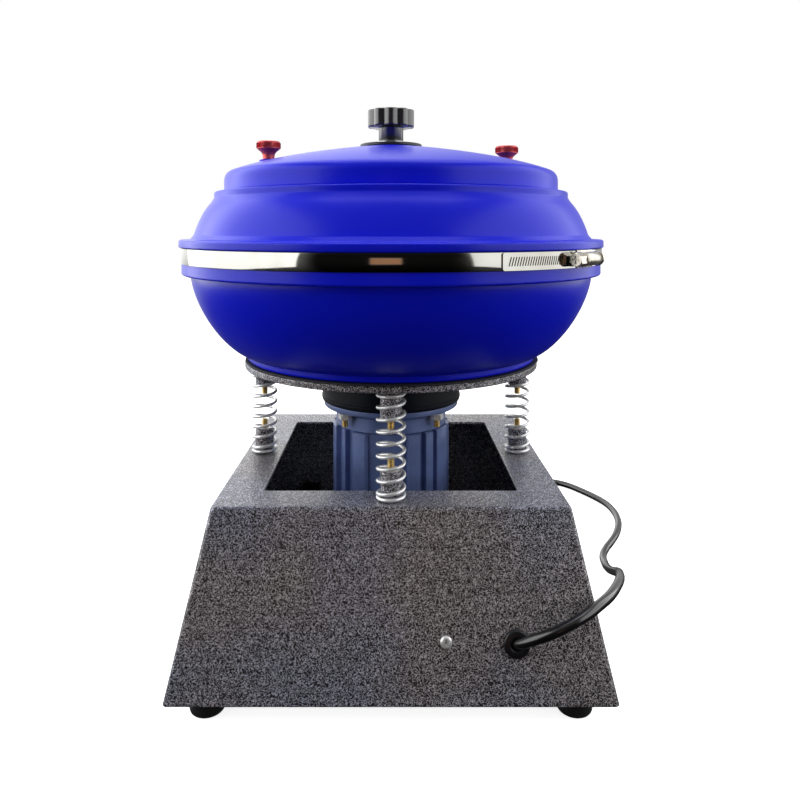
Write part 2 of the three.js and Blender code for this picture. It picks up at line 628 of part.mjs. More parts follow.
function deckPlate() {
  const boltHole = POST_BOLT_RADIUS + GAP;
  let plate = ring(ROD_BORE_RADIUS, DECK_RADIUS, DECK_BOTTOM, DECK_TOP, LARGE);
  for (const [x, y] of springPlaces()) {
    const hole = turned([
      [0, DECK_BOTTOM - 1], [boltHole, DECK_BOTTOM - 1], [boltHole, DECK_TOP - POST_BOLT_RADIUS - GAP],
      [boltHole + POST_BOLT_RADIUS + GAP, DECK_TOP], [boltHole + POST_BOLT_RADIUS + GAP, DECK_TOP + 1],
      [0, DECK_TOP + 1],
    ], SMALL);
    plate = plate.subtract(moved(hole, x, y));
  }
  for (const [x, y] of motorBoltPlaces()) {
    const hole = cylinder(MOTOR_BOLT_RADIUS + GAP, DECK_BOTTOM - 1, MOTOR_BOLT_TOP + GAP, SMALL);
    plate = plate.subtract(moved(hole, x, y));
  }
  return plate;
}

function withMotorBoltHoles(solid, bottom, top) {
  return motorBoltPlaces().reduce((rest, [x, y]) => (
    rest.subtract(moved(cylinder(MOTOR_BOLT_RADIUS + GAP, bottom - 1, top + 1, SMALL), x, y))
  ), solid);
}

function weightHousing() {
  const inner = WEIGHT_HOUSING_RADIUS - WEIGHT_HOUSING_WALL;
  const body = turned([
    [inner, HOUSING_BOTTOM], [WEIGHT_HOUSING_RADIUS - 1.5, HOUSING_BOTTOM],
    [WEIGHT_HOUSING_RADIUS, HOUSING_BOTTOM + 1.5], [WEIGHT_HOUSING_RADIUS, HOUSING_TOP],
    [inner, HOUSING_TOP],
  ], LARGE);
  return withMotorBoltHoles(body, HOUSING_BOTTOM, HOUSING_TOP);
}

function motorTopBell() {
  const hub = BEARING_RADIUS + BELL_WALL;
  const seat = BEARING_RADIUS + GAP;
  const ceiling = FLANGE_TOP - BELL_WALL;
  const bell = turned([
    [SHAFT_RADIUS + 1.5, FLANGE_TOP], [MOTOR_FLANGE_RADIUS, FLANGE_TOP],
    [MOTOR_FLANGE_RADIUS, FLANGE_BOTTOM],
    [MOTOR_BODY_RADIUS, FLANGE_BOTTOM], [MOTOR_BODY_RADIUS, MOTOR_TOP], [MOTOR_BORE_RADIUS, MOTOR_TOP],
    [MOTOR_BORE_RADIUS, ceiling - 2], [hub, ceiling - 2], [hub, ceiling - BEARING_WIDTH],
    [seat, ceiling - BEARING_WIDTH], [seat, ceiling], [SHAFT_RADIUS + 1.5, ceiling],
  ], MEDIUM);
  return withMotorBoltHoles(bell, FLANGE_BOTTOM, FLANGE_TOP);
}

function motorBottomBell() {
  const hub = BEARING_RADIUS + BELL_WALL;
  const seat = BEARING_RADIUS + GAP;
  const floor = LOWER_BELL_BOTTOM + BELL_WALL;
  return turned([
    [SHAFT_RADIUS + 1.5, LOWER_BELL_BOTTOM], [MOTOR_BODY_RADIUS - 6, LOWER_BELL_BOTTOM],
    [MOTOR_BODY_RADIUS, LOWER_BELL_BOTTOM + 6], [MOTOR_BODY_RADIUS, LOWER_BELL_TOP],
    [MOTOR_BORE_RADIUS, LOWER_BELL_TOP], [MOTOR_BORE_RADIUS, floor + 4], [MOTOR_BORE_RADIUS - 4, floor],
    [hub, floor], [hub, floor + BEARING_WIDTH], [seat, floor + BEARING_WIDTH], [seat, floor],
    [SHAFT_RADIUS + 1.5, floor],
  ], MEDIUM);
}

// The housing is an extrusion with cooling ribs all round.
function motorHousing() {
  const outline = [];
  const pitch = 360 / MOTOR_RIB_COUNT;
  for (let i = 0; i < MOTOR_RIB_COUNT; i += 1) {
    const middle = pitch * i + 90;
    const half = (pitch * MOTOR_RIB_SHARE) / 2;
    const corners = [
      [MOTOR_BODY_RADIUS, -half - 1], [MOTOR_RADIUS, -half],
      [MOTOR_RADIUS, half], [MOTOR_BODY_RADIUS, half + 1],
    ];
    for (const [radius, offset] of corners) {
      outline.push([radius * Math.cos(rad(middle + offset)), radius * Math.sin(rad(middle + offset))]);
    }
  }
  const bore = cylinder(MOTOR_BORE_RADIUS, MOTOR_BOTTOM - 1, MOTOR_TOP + 1, MEDIUM);
  return prism(outline, MOTOR_BOTTOM, MOTOR_TOP - GAP).subtract(bore);
}

// Stator laminations with the copper end turns above and below them.
function stator() {
  const [low, high] = [STACK_MIDDLE - STACK_LENGTH / 2, STACK_MIDDLE + STACK_LENGTH / 2];
  const outer = MOTOR_BORE_RADIUS - GAP;
  const inner = ROTOR_RADIUS + 1;
  const [coilInner, coilOuter, coilHeight] = [inner + 3, outer - 4, 12];
  return turned([
    [inner, low], [coilInner, low], [coilInner + 1, low - coilHeight], [coilOuter - 1, low - coilHeight],
    [coilOuter, low], [outer, low], [outer, high], [coilOuter, high], [coilOuter - 1, high + coilHeight],
    [coilInner + 1, high + coilHeight], [coilInner, high], [inner, high],
  ], MEDIUM);
}

const UPPER_WEIGHT_MIDDLE = (HOUSING_TOP + HOUSING_BOTTOM) / 2;
const LOWER_WEIGHT_MIDDLE = LOWER_BELL_BOTTOM - 3 - WEIGHT_THICKNESS / 2;

function rotorShaft() {
  const [low, high] = [STACK_MIDDLE - STACK_LENGTH / 2, STACK_MIDDLE + STACK_LENGTH / 2];
  const bottom = LOWER_WEIGHT_MIDDLE - WEIGHT_THICKNESS / 2 - 1;
  const top = UPPER_WEIGHT_MIDDLE + WEIGHT_THICKNESS / 2 + 2;
  return turned([
    [0, bottom], [SHAFT_RADIUS, bottom], [SHAFT_RADIUS, low], [ROTOR_RADIUS, low], [ROTOR_RADIUS, high],
    [SHAFT_RADIUS, high], [SHAFT_RADIUS, top], [0, top],
  ]);
}

// An eccentric weight: a sector of a thick disc on a hub that grips the shaft.
function eccentricWeight(middle, facing) {
  const outline = [[0, 0]];
  const steps = 10;
  for (let i = 0; i <= steps; i += 1) {
    const angle = rad(facing + WEIGHT_SPREAD * (i / steps - 0.5));
    outline.push([WEIGHT_RADIUS * Math.cos(angle), WEIGHT_RADIUS * Math.sin(angle)]);
  }
  const [low, high] = [middle - WEIGHT_THICKNESS / 2, middle + WEIGHT_THICKNESS / 2];
  const hub = cylinder(WEIGHT_HUB_RADIUS, low, high, 16);
  return prism(outline, low, high).add(hub).subtract(cylinder(SHAFT_RADIUS + GAP, low - 1, high + 1));
}

function motorBolt() {
  const nutTop = FLANGE_BOTTOM - GAP;
  const nut = prism(hexagon(BOLT_HEAD_FLATS), nutTop - BOLT_HEAD_HEIGHT - 1, nutTop);
  return nut.add(cylinder(MOTOR_BOLT_RADIUS, FLANGE_BOTTOM - MOTOR_BOLT_TAIL, MOTOR_BOLT_TOP, SMALL));
}

const bearingBottoms = {
  upper_bearing: FLANGE_TOP - BELL_WALL - GAP - BEARING_WIDTH + 0.6,
  lower_bearing: LOWER_BELL_BOTTOM + BELL_WALL + GAP,
};

add('deck_plate', deckPlate(), hammertone);
const gasket = ring(GASKET_HOLE_RADIUS, DECK_RADIUS - GASKET_INSET, DECK_TOP + GAP, GASKET_TOP, LARGE);
add('deck_gasket', gasket, blackRubber);
add('weight_housing', weightHousing(), blackPaint);
add('motor_top_bell', motorTopBell(), motorPaint);
add('motor_housing', motorHousing(), motorPaint);
add('motor_bottom_bell', motorBottomBell(), motorPaint);
add('stator', stator(), copperWinding);
for (const [name, bottom] of Object.entries(bearingBottoms)) {
  add(name, ring(SHAFT_RADIUS + GAP, BEARING_RADIUS, bottom, bottom + BEARING_WIDTH - 0.6), brightSteel);
}
add('rotor_shaft', rotorShaft(), brightSteel);
add('upper_weight', eccentricWeight(UPPER_WEIGHT_MIDDLE, 0), castIron);
add('lower_weight', eccentricWeight(LOWER_WEIGHT_MIDDLE, 90), castIron);
const MOTOR_BOLT_CORNERS = ['rear_right', 'rear_left', 'front_left', 'front_right'];
motorBoltPlaces().forEach(([x, y], i) => {
  const mesh = add(`motor_bolt_${MOTOR_BOLT_CORNERS[i]}`, motorBolt(), yellowZinc);
  mesh.position.set(x, y, 0);
});

// ---------------------------------------------------------------- bowl
// The belly swells from a corner at its foot to its widest, as a quarter of a superellipse.
function bellyOutline(footRadius, topRadius, bottom, top, steps) {
  const power = 2 / BELLY_ROUNDNESS;
  return Array.from({ length: steps + 1 }, (_, i) => {
    const angle = rad((90 * i) / steps);
    const radius = footRadius + (topRadius - footRadius) * Math.sin(angle) ** power;
    return [radius, top - (top - bottom) * Math.cos(angle) ** power];
  });
}

function lowerBowl() {
  const flange = BOWL_FLANGE_RADIUS;
  const floor = BELLY_BOTTOM + BOWL_WALL - 1;
  const columnBore = COLUMN_BASE_RADIUS - COLUMN_WALL;
  const outer = bellyOutline(BOWL_FOOT_RADIUS, BELLY_RADIUS, BELLY_BOTTOM, BELLY_TOP, 7);
  const inner = bellyOutline(BOWL_FOOT_RADIUS - 4, BELLY_RADIUS - BOWL_WALL, floor, BELLY_TOP, 6).reverse();
  return turned([
    [ROD_BORE_RADIUS, COLUMN_TOP], [ROD_BORE_RADIUS, COLUMN_TOP - COLUMN_WALL],
    [COLUMN_TOP_RADIUS - COLUMN_WALL + 3, COLUMN_TOP - COLUMN_WALL - 3],
    [columnBore - 5, BELLY_BOTTOM + 9], [columnBore, BELLY_BOTTOM],
    [BOWL_FOOT_RADIUS - 10, BELLY_BOTTOM], [BOWL_FOOT_RADIUS - 8, BOWL_BOTTOM],
    [BOWL_FOOT_RADIUS, BOWL_BOTTOM],
    ...outer, [flange, BELLY_TOP + 1.5], [flange, LOWER_FLANGE_TOP],
    [BELLY_RADIUS - BOWL_WALL, LOWER_FLANGE_TOP],
    ...inner, [COLUMN_BASE_RADIUS + 8, floor], [COLUMN_BASE_RADIUS - 3, floor + 8],
    [COLUMN_TOP_RADIUS + 2, COLUMN_TOP - 12], [COLUMN_TOP_RADIUS, COLUMN_TOP],
  ], LARGE);
}

function upperBowl() {
  const flange = BOWL_FLANGE_RADIUS;
  const inner = BELLY_RADIUS - BOWL_WALL;
  const shoulderFoot = [flange - 10, LIP_TOP + 4];
  const neck = [RIM_RADIUS + 2.5, RIM_TOP - 9];
  const control = [flange - 16, RIM_TOP - 18];
  return turned([
    [inner, UPPER_FLANGE_BOTTOM], [flange, UPPER_FLANGE_BOTTOM], [flange, LIP_BOTTOM],
    [LIP_RADIUS, LIP_BOTTOM + 1],
    [LIP_RADIUS, LIP_TOP - 1.5], [LIP_RADIUS - 2, LIP_TOP], [flange - 7, LIP_TOP + 0.5], shoulderFoot,
    ...curveTo(shoulderFoot, control, neck, 4), [RIM_RADIUS, RIM_TOP - 5], [RIM_RADIUS, RIM_TOP - 1],
    [RIM_RADIUS - 1, RIM_TOP], [MOUTH_RADIUS, RIM_TOP], [MOUTH_RADIUS, RIM_TOP - 5],
    [RIM_RADIUS - 6, RIM_TOP - 9], [flange - 19, LIP_TOP + 12], [inner, LIP_BOTTOM],
  ], LARGE);
}

function thumbScrewPlaces() {
  const radius = LID_RADIUS - THUMB_SCREW_INSET;
  const angle = rad(THUMB_SCREW_ANGLE);
  const [across, forward] = [radius * Math.cos(angle), radius * Math.sin(angle)];
  return { left: [-across, -forward], right: [across, forward] };
}

// The lid's crown falls from its flat middle to its shoulder on one quadratic curve.
const SHOULDER_TOP = [LID_RADIUS - 5.6, LID_BOTTOM + LID_SIDE_HEIGHT + LID_SHOULDER];
const CROWN_CONTROL = [LID_RADIUS * 0.735, LID_TOP - 11];
const CROWN_END = [LID_FLAT_RADIUS, LID_TOP];

function crownHeight(radius) {
  const points = [SHOULDER_TOP, ...curveTo(SHOULDER_TOP, CROWN_CONTROL, CROWN_END, 60)];
  const outer = points.findLast(([r]) => r >= radius);
  return outer[1];
}

// The lid's boss under a thumb screw rises just clear of the crown on its uphill side.
const BOSS_TOP = crownHeight(LID_RADIUS - THUMB_SCREW_INSET - BOSS_RADIUS) + GAP;

function lidShell() {
  const side = [LID_RADIUS, LID_BOTTOM + LID_SIDE_HEIGHT];
  const underEnd = [LID_FLAT_RADIUS, LID_TOP - LID_WALL];
  const underStart = [MOUTH_RADIUS - GAP - SPIGOT_WALL, SHOULDER_TOP[1] - LID_WALL];
  const under = curveTo(underEnd, [CROWN_CONTROL[0], CROWN_CONTROL[1] - LID_WALL], underStart, 5);
  const spigotBottom = RIM_TOP - SPIGOT_DEPTH;
  let lid = turned([
    [MOUTH_RADIUS - GAP, spigotBottom], [MOUTH_RADIUS - GAP, LID_BOTTOM], [LID_RADIUS, LID_BOTTOM], side,
    ...curveTo(side, [LID_RADIUS, SHOULDER_TOP[1] - 2], SHOULDER_TOP, 3),
    ...curveTo(SHOULDER_TOP, CROWN_CONTROL, CROWN_END, 6), [ROD_BORE_RADIUS, LID_TOP],
    [ROD_BORE_RADIUS, LID_TOP - LID_WALL], underEnd, ...under,
    [MOUTH_RADIUS - GAP - SPIGOT_WALL, spigotBottom],
  ], LARGE);
  for (const [x, y] of Object.values(thumbScrewPlaces())) {
    const boss = cylinder(BOSS_RADIUS, BOSS_TOP - LID_WALL - 2, BOSS_TOP, 16);
    const hole = cylinder(THUMB_SHANK_RADIUS + GAP, BOSS_TOP - 3 * LID_WALL, BOSS_TOP + 1, SMALL);
    lid = lid.add(moved(boss, x, y)).subtract(moved(hole, x, y));
  }
  return lid;
}

// The threaded rod stands on the deck plate and carries a collar that seats on it.
function centerRod() {
  const collarTop = DECK_TOP + GAP + ROD_COLLAR_HEIGHT;
  return turned([
    [0, DECK_BOTTOM + GAP], [ROD_RADIUS, DECK_BOTTOM + GAP], [ROD_RADIUS, DECK_TOP + GAP],
    [ROD_COLLAR_RADIUS, DECK_TOP + GAP], [ROD_COLLAR_RADIUS, collarTop], [ROD_RADIUS, collarTop],
    [ROD_RADIUS, ROD_TOP - 1], [ROD_RADIUS - 1, ROD_TOP], [0, ROD_TOP],
  ], 16);
}

// ---------------------------------------------------------------- band clamp
const wormRadial = BAND_RADIUS + BAND_THICKNESS + WORM_RADIUS + 1.6;
const bandMiddle = BAND_BOTTOM + BAND_WIDTH / 2;
const alongBand = new THREE.Vector3(0, 1, 0);

// Lays a part that was drawn along +Z down along the band, at the worm housing.
function atWormHousing(solid) {
  const lying = turnedAbout(solid, alongBand, -90);
  const beside = moved(lying, 0, -wormRadial, bandMiddle);
  return turnedAbout(beside, new THREE.Vector3(0, 0, 1), WORM_HOUSING_ANGLE);
}

function clampBand() {
  const band = ring(BAND_RADIUS, BAND_RADIUS + BAND_THICKNESS, BAND_BOTTOM, BAND_BOTTOM + BAND_WIDTH, LARGE);
  const half = WORM_HOUSING_LENGTH / 2;
  const shell = atWormHousing(cylinder(WORM_RADIUS + GAP + 1, -half, half, SMALL));
  const saddle = turnedAbout(
    box([-half, -wormRadial, bandMiddle - 5.5], [half, -BAND_RADIUS - BAND_THICKNESS / 2, bandMiddle + 5.5]),
    new THREE.Vector3(0, 0, 1),
    WORM_HOUSING_ANGLE,
  );
  const bore = atWormHousing(cylinder(WORM_RADIUS + GAP, -half - 1, half + 1, SMALL));
  const inside = cylinder(BAND_RADIUS, BAND_BOTTOM - 5, BAND_BOTTOM + BAND_WIDTH + 5, LARGE);
  return band.add(shell.add(saddle).subtract(bore).subtract(inside));
}

function clampScrew() {
  const half = WORM_HOUSING_LENGTH / 2;
  const worm = cylinder(WORM_RADIUS, -half + 1, half + GAP + 1, SMALL);
  const headStart = half + GAP;
  const head = prism(hexagon(2 * WORM_HEAD_RADIUS), headStart, headStart + WORM_HEAD_LENGTH);
  return atWormHousing(worm.add(head));
}

// ---------------------------------------------------------------- knob and thumb screws
function knobWasher() {
  const discTop = DISC_BOTTOM + PRESSURE_DISC_THICKNESS;
  return turned([
    [ROD_BORE_RADIUS, DISC_BOTTOM], [PRESSURE_DISC_RADIUS, DISC_BOTTOM], [PRESSURE_DISC_RADIUS, discTop],
    [KNOB_WASHER_RADIUS, discTop], [KNOB_WASHER_RADIUS, WASHER_TOP], [ROD_BORE_RADIUS, WASHER_TOP],
  ]);
}

function starKnob() {
  const outline = [];
  const perLobe = 4;
  for (let i = 0; i < KNOB_LOBES * perLobe; i += 1) {
    const wave = Math.cos((2 * Math.PI * i) / perLobe);
    const radius = KNOB_RADIUS - (KNOB_LOBE_DEPTH * (1 - wave)) / 2;
    const angle = rad((360 * i) / (KNOB_LOBES * perLobe) - 90);
    outline.push([radius * Math.cos(angle), radius * Math.sin(angle)]);
  }
  const shrunk = (share) => outline.map(([x, y]) => [x * share, y * share]);
  const top = STAR_BOTTOM + KNOB_HEIGHT;
  const star = loft([
    [shrunk(0.95), STAR_BOTTOM], [outline, STAR_BOTTOM + 1.5], [outline, top - 2], [shrunk(0.9), top],
  ]);
  const hub = cylinder(KNOB_HUB_RADIUS, KNOB_BOTTOM, STAR_BOTTOM + 1);
  return star.add(hub).subtract(cylinder(ROD_BORE_RADIUS, KNOB_BOTTOM - 1, ROD_TOP + 2, 16));
}

function thumbScrew() {
  const neckBottom = BOSS_TOP + GAP;
  const top = neckBottom + THUMB_HEIGHT;
  const headBottom = top - THUMB_HEAD_HEIGHT;
  const neck = THUMB_NECK_RADIUS;
  return turned([
    [0, neckBottom - THUMB_SHANK_LENGTH], [THUMB_SHANK_RADIUS, neckBottom - THUMB_SHANK_LENGTH],
    [THUMB_SHANK_RADIUS, neckBottom], [neck, neckBottom],
    ...curveTo([neck, neckBottom], [neck, headBottom - 2], [THUMB_HEAD_RADIUS - 1, headBottom], 4),
    [THUMB_HEAD_RADIUS, headBottom + 0.8], [THUMB_HEAD_RADIUS, top - 0.8],
    [THUMB_HEAD_RADIUS - 1, top], [0, top],
  ], 12);
}

add('lower_bowl', lowerBowl(), bluePlastic);
add('upper_bowl', upperBowl(), bluePlastic);
add('center_rod', centerRod(), brightSteel);
add('clamp_band', clampBand(), mirrorSteel);
add('clamp_screw', clampScrew(), mirrorSteel);
add('lid', lidShell(), bluePlastic);
add('knob_washer', knobWasher(), blackRubber);
add('star_knob', starKnob(), blackPlastic);
for (const [side, [x, y]] of Object.entries(thumbScrewPlaces())) {
  const mesh = add(`thumb_screw_${side}`, thumbScrew(), redAnodised);
  mesh.position.set(x, y, 0);
}

// ---------------------------------------------------------------- cord, coil and plug
function coilRing(clearance) {
  const body = ring(
    COIL_INNER_RADIUS - clearance, COIL_OUTER_RADIUS + clearance, -clearance, COIL_HEIGHT + clearance, 32,
  );
  return moved(body, ...COIL_CENTRE);
}

function cordLead() {
  const points = CORD_ROUTE.map((p) => new THREE.Vector3(...p));
  const path = new THREE.CatmullRomCurve3(points, false, 'centripetal');
  const whole = tube(path, CORD_DIAMETER / 2, 8, 46);
  const mouth = placed(cylinder(2 * GROMMET_RADIUS, -20, 2 * GAP + GROMMET_FLANGE), grommetFrame);
  const parts = whole.subtract(coilRing(GAP)).subtract(mouth).decompose();
  return parts.reduce((best, part) => (part.volume() > best.volume() ? part : best));
}

// A moulded three-pin plug with its strain relief, lying beside the coil along -X.
function plug() {
  const axisHeight = COIL_HEIGHT - CORD_DIAMETER / 2;
  const lengthways = new THREE.Vector3(0, 1, 0);
  const relief = turned([
    [0, 0], [CORD_DIAMETER / 2 + 0.8, 0], [CORD_DIAMETER / 2 + 3.5, PLUG_RELIEF_LENGTH],
    [CORD_DIAMETER / 2 + 3.5, PLUG_RELIEF_LENGTH + 2], [0, PLUG_RELIEF_LENGTH + 2],
  ], SMALL);
  const [height, width] = [PLUG_HEIGHT, PLUG_WIDTH];
  const section = (scale) => roundedSquare(1, 0.28).map(([x, y]) => [x * height * scale, y * width * scale]);
  const [start, end] = [PLUG_RELIEF_LENGTH, PLUG_RELIEF_LENGTH + PLUG_LENGTH];
  const body = loft([
    [section(0.7), start], [section(1), start + 10], [section(1), end - 3], [section(0.92), end],
  ]);
  const blade = (y) => box([-3.2, y - 0.75, end - 1], [3.2, y + 0.75, end + PLUG_BLADE_LENGTH]);
  const pin = moved(cylinder(2.4, end - 1, end + PLUG_BLADE_LENGTH + 2, SMALL), 7, 0);
  const drawn = relief.add(body).add(blade(-6.35)).add(blade(6.35)).add(pin);
  const lying = turnedAbout(drawn, lengthways, -90);
  const start0 = COIL_CENTRE[0] - Math.sqrt(COIL_OUTER_RADIUS ** 2 - COIL_RADIUS ** 2);
  const across = COIL_CENTRE[1] + COIL_OUTER_RADIUS - CORD_DIAMETER / 2;
  return moved(lying, start0 - GAP, across, axisHeight).subtract(coilRing(GAP));
}

add('cord_lead', cordLead(), cordSheath);
add('cord_coil', coilRing(0), cordSheath);
add('plug', plug(), cordSheath);

export default tumbler;
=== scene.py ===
"""Looks of the vibratory rock tumbler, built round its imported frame.

Sizes are in millimetres, and become metres where a mesh is made. +Z is up and the front faces -Y.
"""

import math

import bmesh
import bpy
from mathutils import Matrix, Vector


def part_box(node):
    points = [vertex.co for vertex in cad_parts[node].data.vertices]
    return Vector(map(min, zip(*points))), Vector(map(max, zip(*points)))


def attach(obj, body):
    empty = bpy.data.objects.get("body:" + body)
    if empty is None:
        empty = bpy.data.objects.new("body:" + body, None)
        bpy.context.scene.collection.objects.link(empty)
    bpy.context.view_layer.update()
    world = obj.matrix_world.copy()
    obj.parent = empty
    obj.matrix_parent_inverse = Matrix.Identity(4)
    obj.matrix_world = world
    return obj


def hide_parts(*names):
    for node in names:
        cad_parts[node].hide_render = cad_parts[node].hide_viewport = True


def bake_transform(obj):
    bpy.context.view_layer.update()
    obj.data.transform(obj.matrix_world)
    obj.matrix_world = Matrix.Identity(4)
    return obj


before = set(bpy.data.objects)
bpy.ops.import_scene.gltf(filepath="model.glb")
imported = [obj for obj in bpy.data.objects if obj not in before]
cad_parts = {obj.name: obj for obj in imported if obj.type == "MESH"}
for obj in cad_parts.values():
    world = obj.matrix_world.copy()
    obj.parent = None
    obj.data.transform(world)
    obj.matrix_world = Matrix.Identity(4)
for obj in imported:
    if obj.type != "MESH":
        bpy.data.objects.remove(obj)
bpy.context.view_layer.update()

MM = 0.001
TAU = 2 * math.pi


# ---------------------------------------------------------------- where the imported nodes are
class Extent:
    """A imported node's box, in millimetres."""

    def __init__(self, node):
        low, high = (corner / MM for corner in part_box(node))
        self.x, self.y, self.middle = (low + high) / 2
        self.left, self.right = low.x, high.x
        self.front, self.rear = low.y, high.y
        self.bottom, self.top = low.z, high.z
        self.radius = (high.x - low.x) / 2


SIDES = ("front", "right", "rear", "left")
base = Extent("base_shell")
deck = Extent("deck_plate")
gasket = Extent("deck_gasket")
motor = Extent("motor_housing")
top_bell = Extent("motor_top_bell")
bottom_bell = Extent("motor_bottom_bell")
weight_housing = Extent("weight_housing")
bowl = Extent("lower_bowl")
shoulder = Extent("upper_bowl")
lid = Extent("lid")
rod = Extent("center_rod")
pressure = Extent("knob_washer")
knob = Extent("star_knob")
coil = Extent("cord_coil")

BASE_TOP_HALF = 133.0
BASE_SLOPE = math.atan((base.radius - BASE_TOP_HALF) / (base.top - base.bottom))
OPENING_HALF = 99.0
SHEET = 2.0
GROMMET_PLACE = (89.0, 58.0)  # across and up the front face
SCREW_PLACE = (39.0, 59.0)
SWITCH_PLACE = (89.0, 60.0)  # on the rear face, seen from behind
BORE = 5.3  # round the centre rod
BOLT_RADIUS = 2.8  # of the threads in the posts and the motor's flange
CORD = 7.5
GROOVE_RADIUS = 48.2  # of the motor's housing between its ribs


# ---------------------------------------------------------------- nodes
class Value:
    """A socket of a node; arithmetic on a number adds Math nodes."""

    def __init__(self, tree, socket):
        self.tree = tree
        self.socket = socket

    def also(self, output):
        """Another output of the same node."""
        return Value(self.tree, self.socket.node.outputs[output])

    def _math(self, operation, *terms):
        return self.tree.node("ShaderNodeMath", {"operation": operation}, dict(enumerate(terms)))

    def __add__(self, other):
        return self._math("ADD", self, other)

    __radd__ = __add__

    def __sub__(self, other):
        return self._math("SUBTRACT", self, other)

    def __rsub__(self, other):
        return self._math("SUBTRACT", other, self)

    def __mul__(self, other):
        return self._math("MULTIPLY", self, other)

    __rmul__ = __mul__

    def __truediv__(self, other):
        return self._math("DIVIDE", self, other)

    def __abs__(self):
        return self._math("ABSOLUTE", self)

    def least(self, other):
        return self._math("MINIMUM", self, other)

    def most(self, other):
        return self._math("MAXIMUM", self, other)

    def cosine(self):
        return self._math("COSINE", self)

    def sine(self):
        return self._math("SINE", self)

    def ramp(self, low, high, start=0.0, end=1.0):
        """Start below low, end above high, and a smooth change between them."""
        return self.tree.node(
            "ShaderNodeMapRange",
            {"interpolation_type": "SMOOTHSTEP"},
            {"Value": self, "From Min": low, "From Max": high, "To Min": start, "To Max": end},
        )


class Tree:
    """The nodes of a finish, a shape or the surroundings."""

    def __init__(self, node_tree):
        self.node_tree = node_tree

    def node(self, kind, settings=None, sockets=None, output=0):
        made = self.node_tree.nodes.new(kind)
        for name, value in (settings or {}).items():
            setattr(made, name, value)
        for name, value in (sockets or {}).items():
            if isinstance(value, Value):
                self.node_tree.links.new(value.socket, made.inputs[name])
            else:
                made.inputs[name].default_value = value
        return Value(self, made.outputs[output]) if len(made.outputs) else None

    def blend(self, share, first, second):
        """One colour turning into another as share goes from 0 to 1."""
        return self.node(
            "ShaderNodeMix",
            {"data_type": "RGBA"},
            {"Factor": share, 6: first, 7: second},
            output=2,
        )


class Finish(Tree):
    """A material: what is the same all over is given by name, and the rest comes from patterns."""

    def __init__(self, name, **constants):
        self.material = bpy.data.materials.new(name)
        self.material.use_nodes = True
        super().__init__(self.material.node_tree)
        self.shader = self.node_tree.nodes["Principled BSDF"]
        for socket, value in constants.items():
            self.shader.inputs[socket.replace("_", " ")].default_value = value
        self.place = self.node("ShaderNodeTexCoord", output="Object")

    def noise(self, scale, detail=2.0, roughness=0.5, distortion=0.0, stretch=None):
        place = self.place
        if stretch:
            place = self.node("ShaderNodeMapping", {}, {"Vector": place, "Scale": stretch})
        return self.node(
            "ShaderNodeTexNoise",
            {},
            {"Vector": place, "Scale": scale, "Detail": detail, "Roughness": roughness,
             "Distortion": distortion},
        )

    def set(self, **patterns):
        for socket, value in patterns.items():
            self.node_tree.links.new(value.socket, self.shader.inputs[socket.replace("_", " ")])
        return self

    def relief(self, height, depth, strength=1.0):
        """Raises the surface by height times depth, in metres."""
        bump = self.node("ShaderNodeBump", {}, {"Height": height, "Distance": depth, "Strength": strength})
        return self.set(Normal=bump)


def rgb(red, green, blue):
    return (red, green, blue, 1.0)


# ---------------------------------------------------------------- finishes
def hammertone():
    """Charcoal enamel that has pulled back into silver veins."""
    f = Finish("hammertone", Coat_Roughness=0.16, Coat_Weight=0.5)
    flow = f.noise(660.0, 1.0, 0.5, 0.3)
    veins = 1 - (abs(flow - 0.5) * 11).least(1.0)
    speckle = f.noise(1300.0, 1.0)
    silver = (veins.ramp(0.35, 0.8) + speckle.ramp(0.58, 0.7) * 0.3).least(1.0)
    drift = f.noise(9.0, 1.0).ramp(0.35, 0.65)
    dark = f.blend(drift, rgb(0.006, 0.006, 0.01), rgb(0.013, 0.01, 0.01))
    bright = f.blend(drift, rgb(0.62, 0.64, 0.79), rgb(0.7, 0.66, 0.69))
    f.set(
        Base_Color=f.blend(silver, dark, bright),
        Metallic=0.1 + silver * 0.35,
        Roughness=0.46 - silver * 0.12,
    )
    return f.relief(silver + flow * 0.6, 0.0002, 0.8).material


def blue_shell():
    """Satin ultramarine plastic as it leaves the mould."""
    f = Finish("blue_shell", IOR=1.46, Specular_IOR_Level=0.25)
    cloud = f.noise(14.0, 3.0)
    grain = f.noise(1400.0, 2.0)
    f.set(
        Base_Color=f.blend(cloud, rgb(0.004, 0.009, 0.64), rgb(0.005, 0.012, 0.74)),
        Roughness=0.24 + cloud * 0.08 + grain * 0.05,
    )
    return f.relief(grain * 0.4 + f.noise(60.0, 2.0), 0.00006, 0.6).material


def plated(name, bright, dull, roughness, scale=160.0, metallic=1.0):
    """Plated or turned metal with a little cloudiness; a frosted coat is less metallic."""
    f = Finish(name, Metallic=metallic)
    cloud = f.noise(scale, 3.0).ramp(0.3, 0.7)
    fine = f.noise(2500.0, 1.0)
    f.set(
        Base_Color=f.blend(cloud, rgb(*dull), rgb(*bright)),
        Roughness=roughness + (1 - cloud) * 0.1 + fine * 0.05,
    )
    return f.relief(fine, 0.00002, 0.4).material


def mirror_band():
    """Bright rolled stainless strip: a mirror with faint rolling lines along it."""
    f = Finish("mirror_band", Metallic=1.0)
    lines = f.noise(30.0, 3.0, stretch=(1.0, 1.0, 90.0))
    smudge = f.noise(35.0, 4.0).ramp(0.45, 0.75)
    f.set(
        Base_Color=f.blend(smudge, rgb(0.4, 0.4, 0.37), rgb(0.36, 0.35, 0.32)),
        Roughness=0.035 + lines * 0.05 + smudge * 0.05,
    )
    return f.relief(lines, 0.00001, 0.3).material


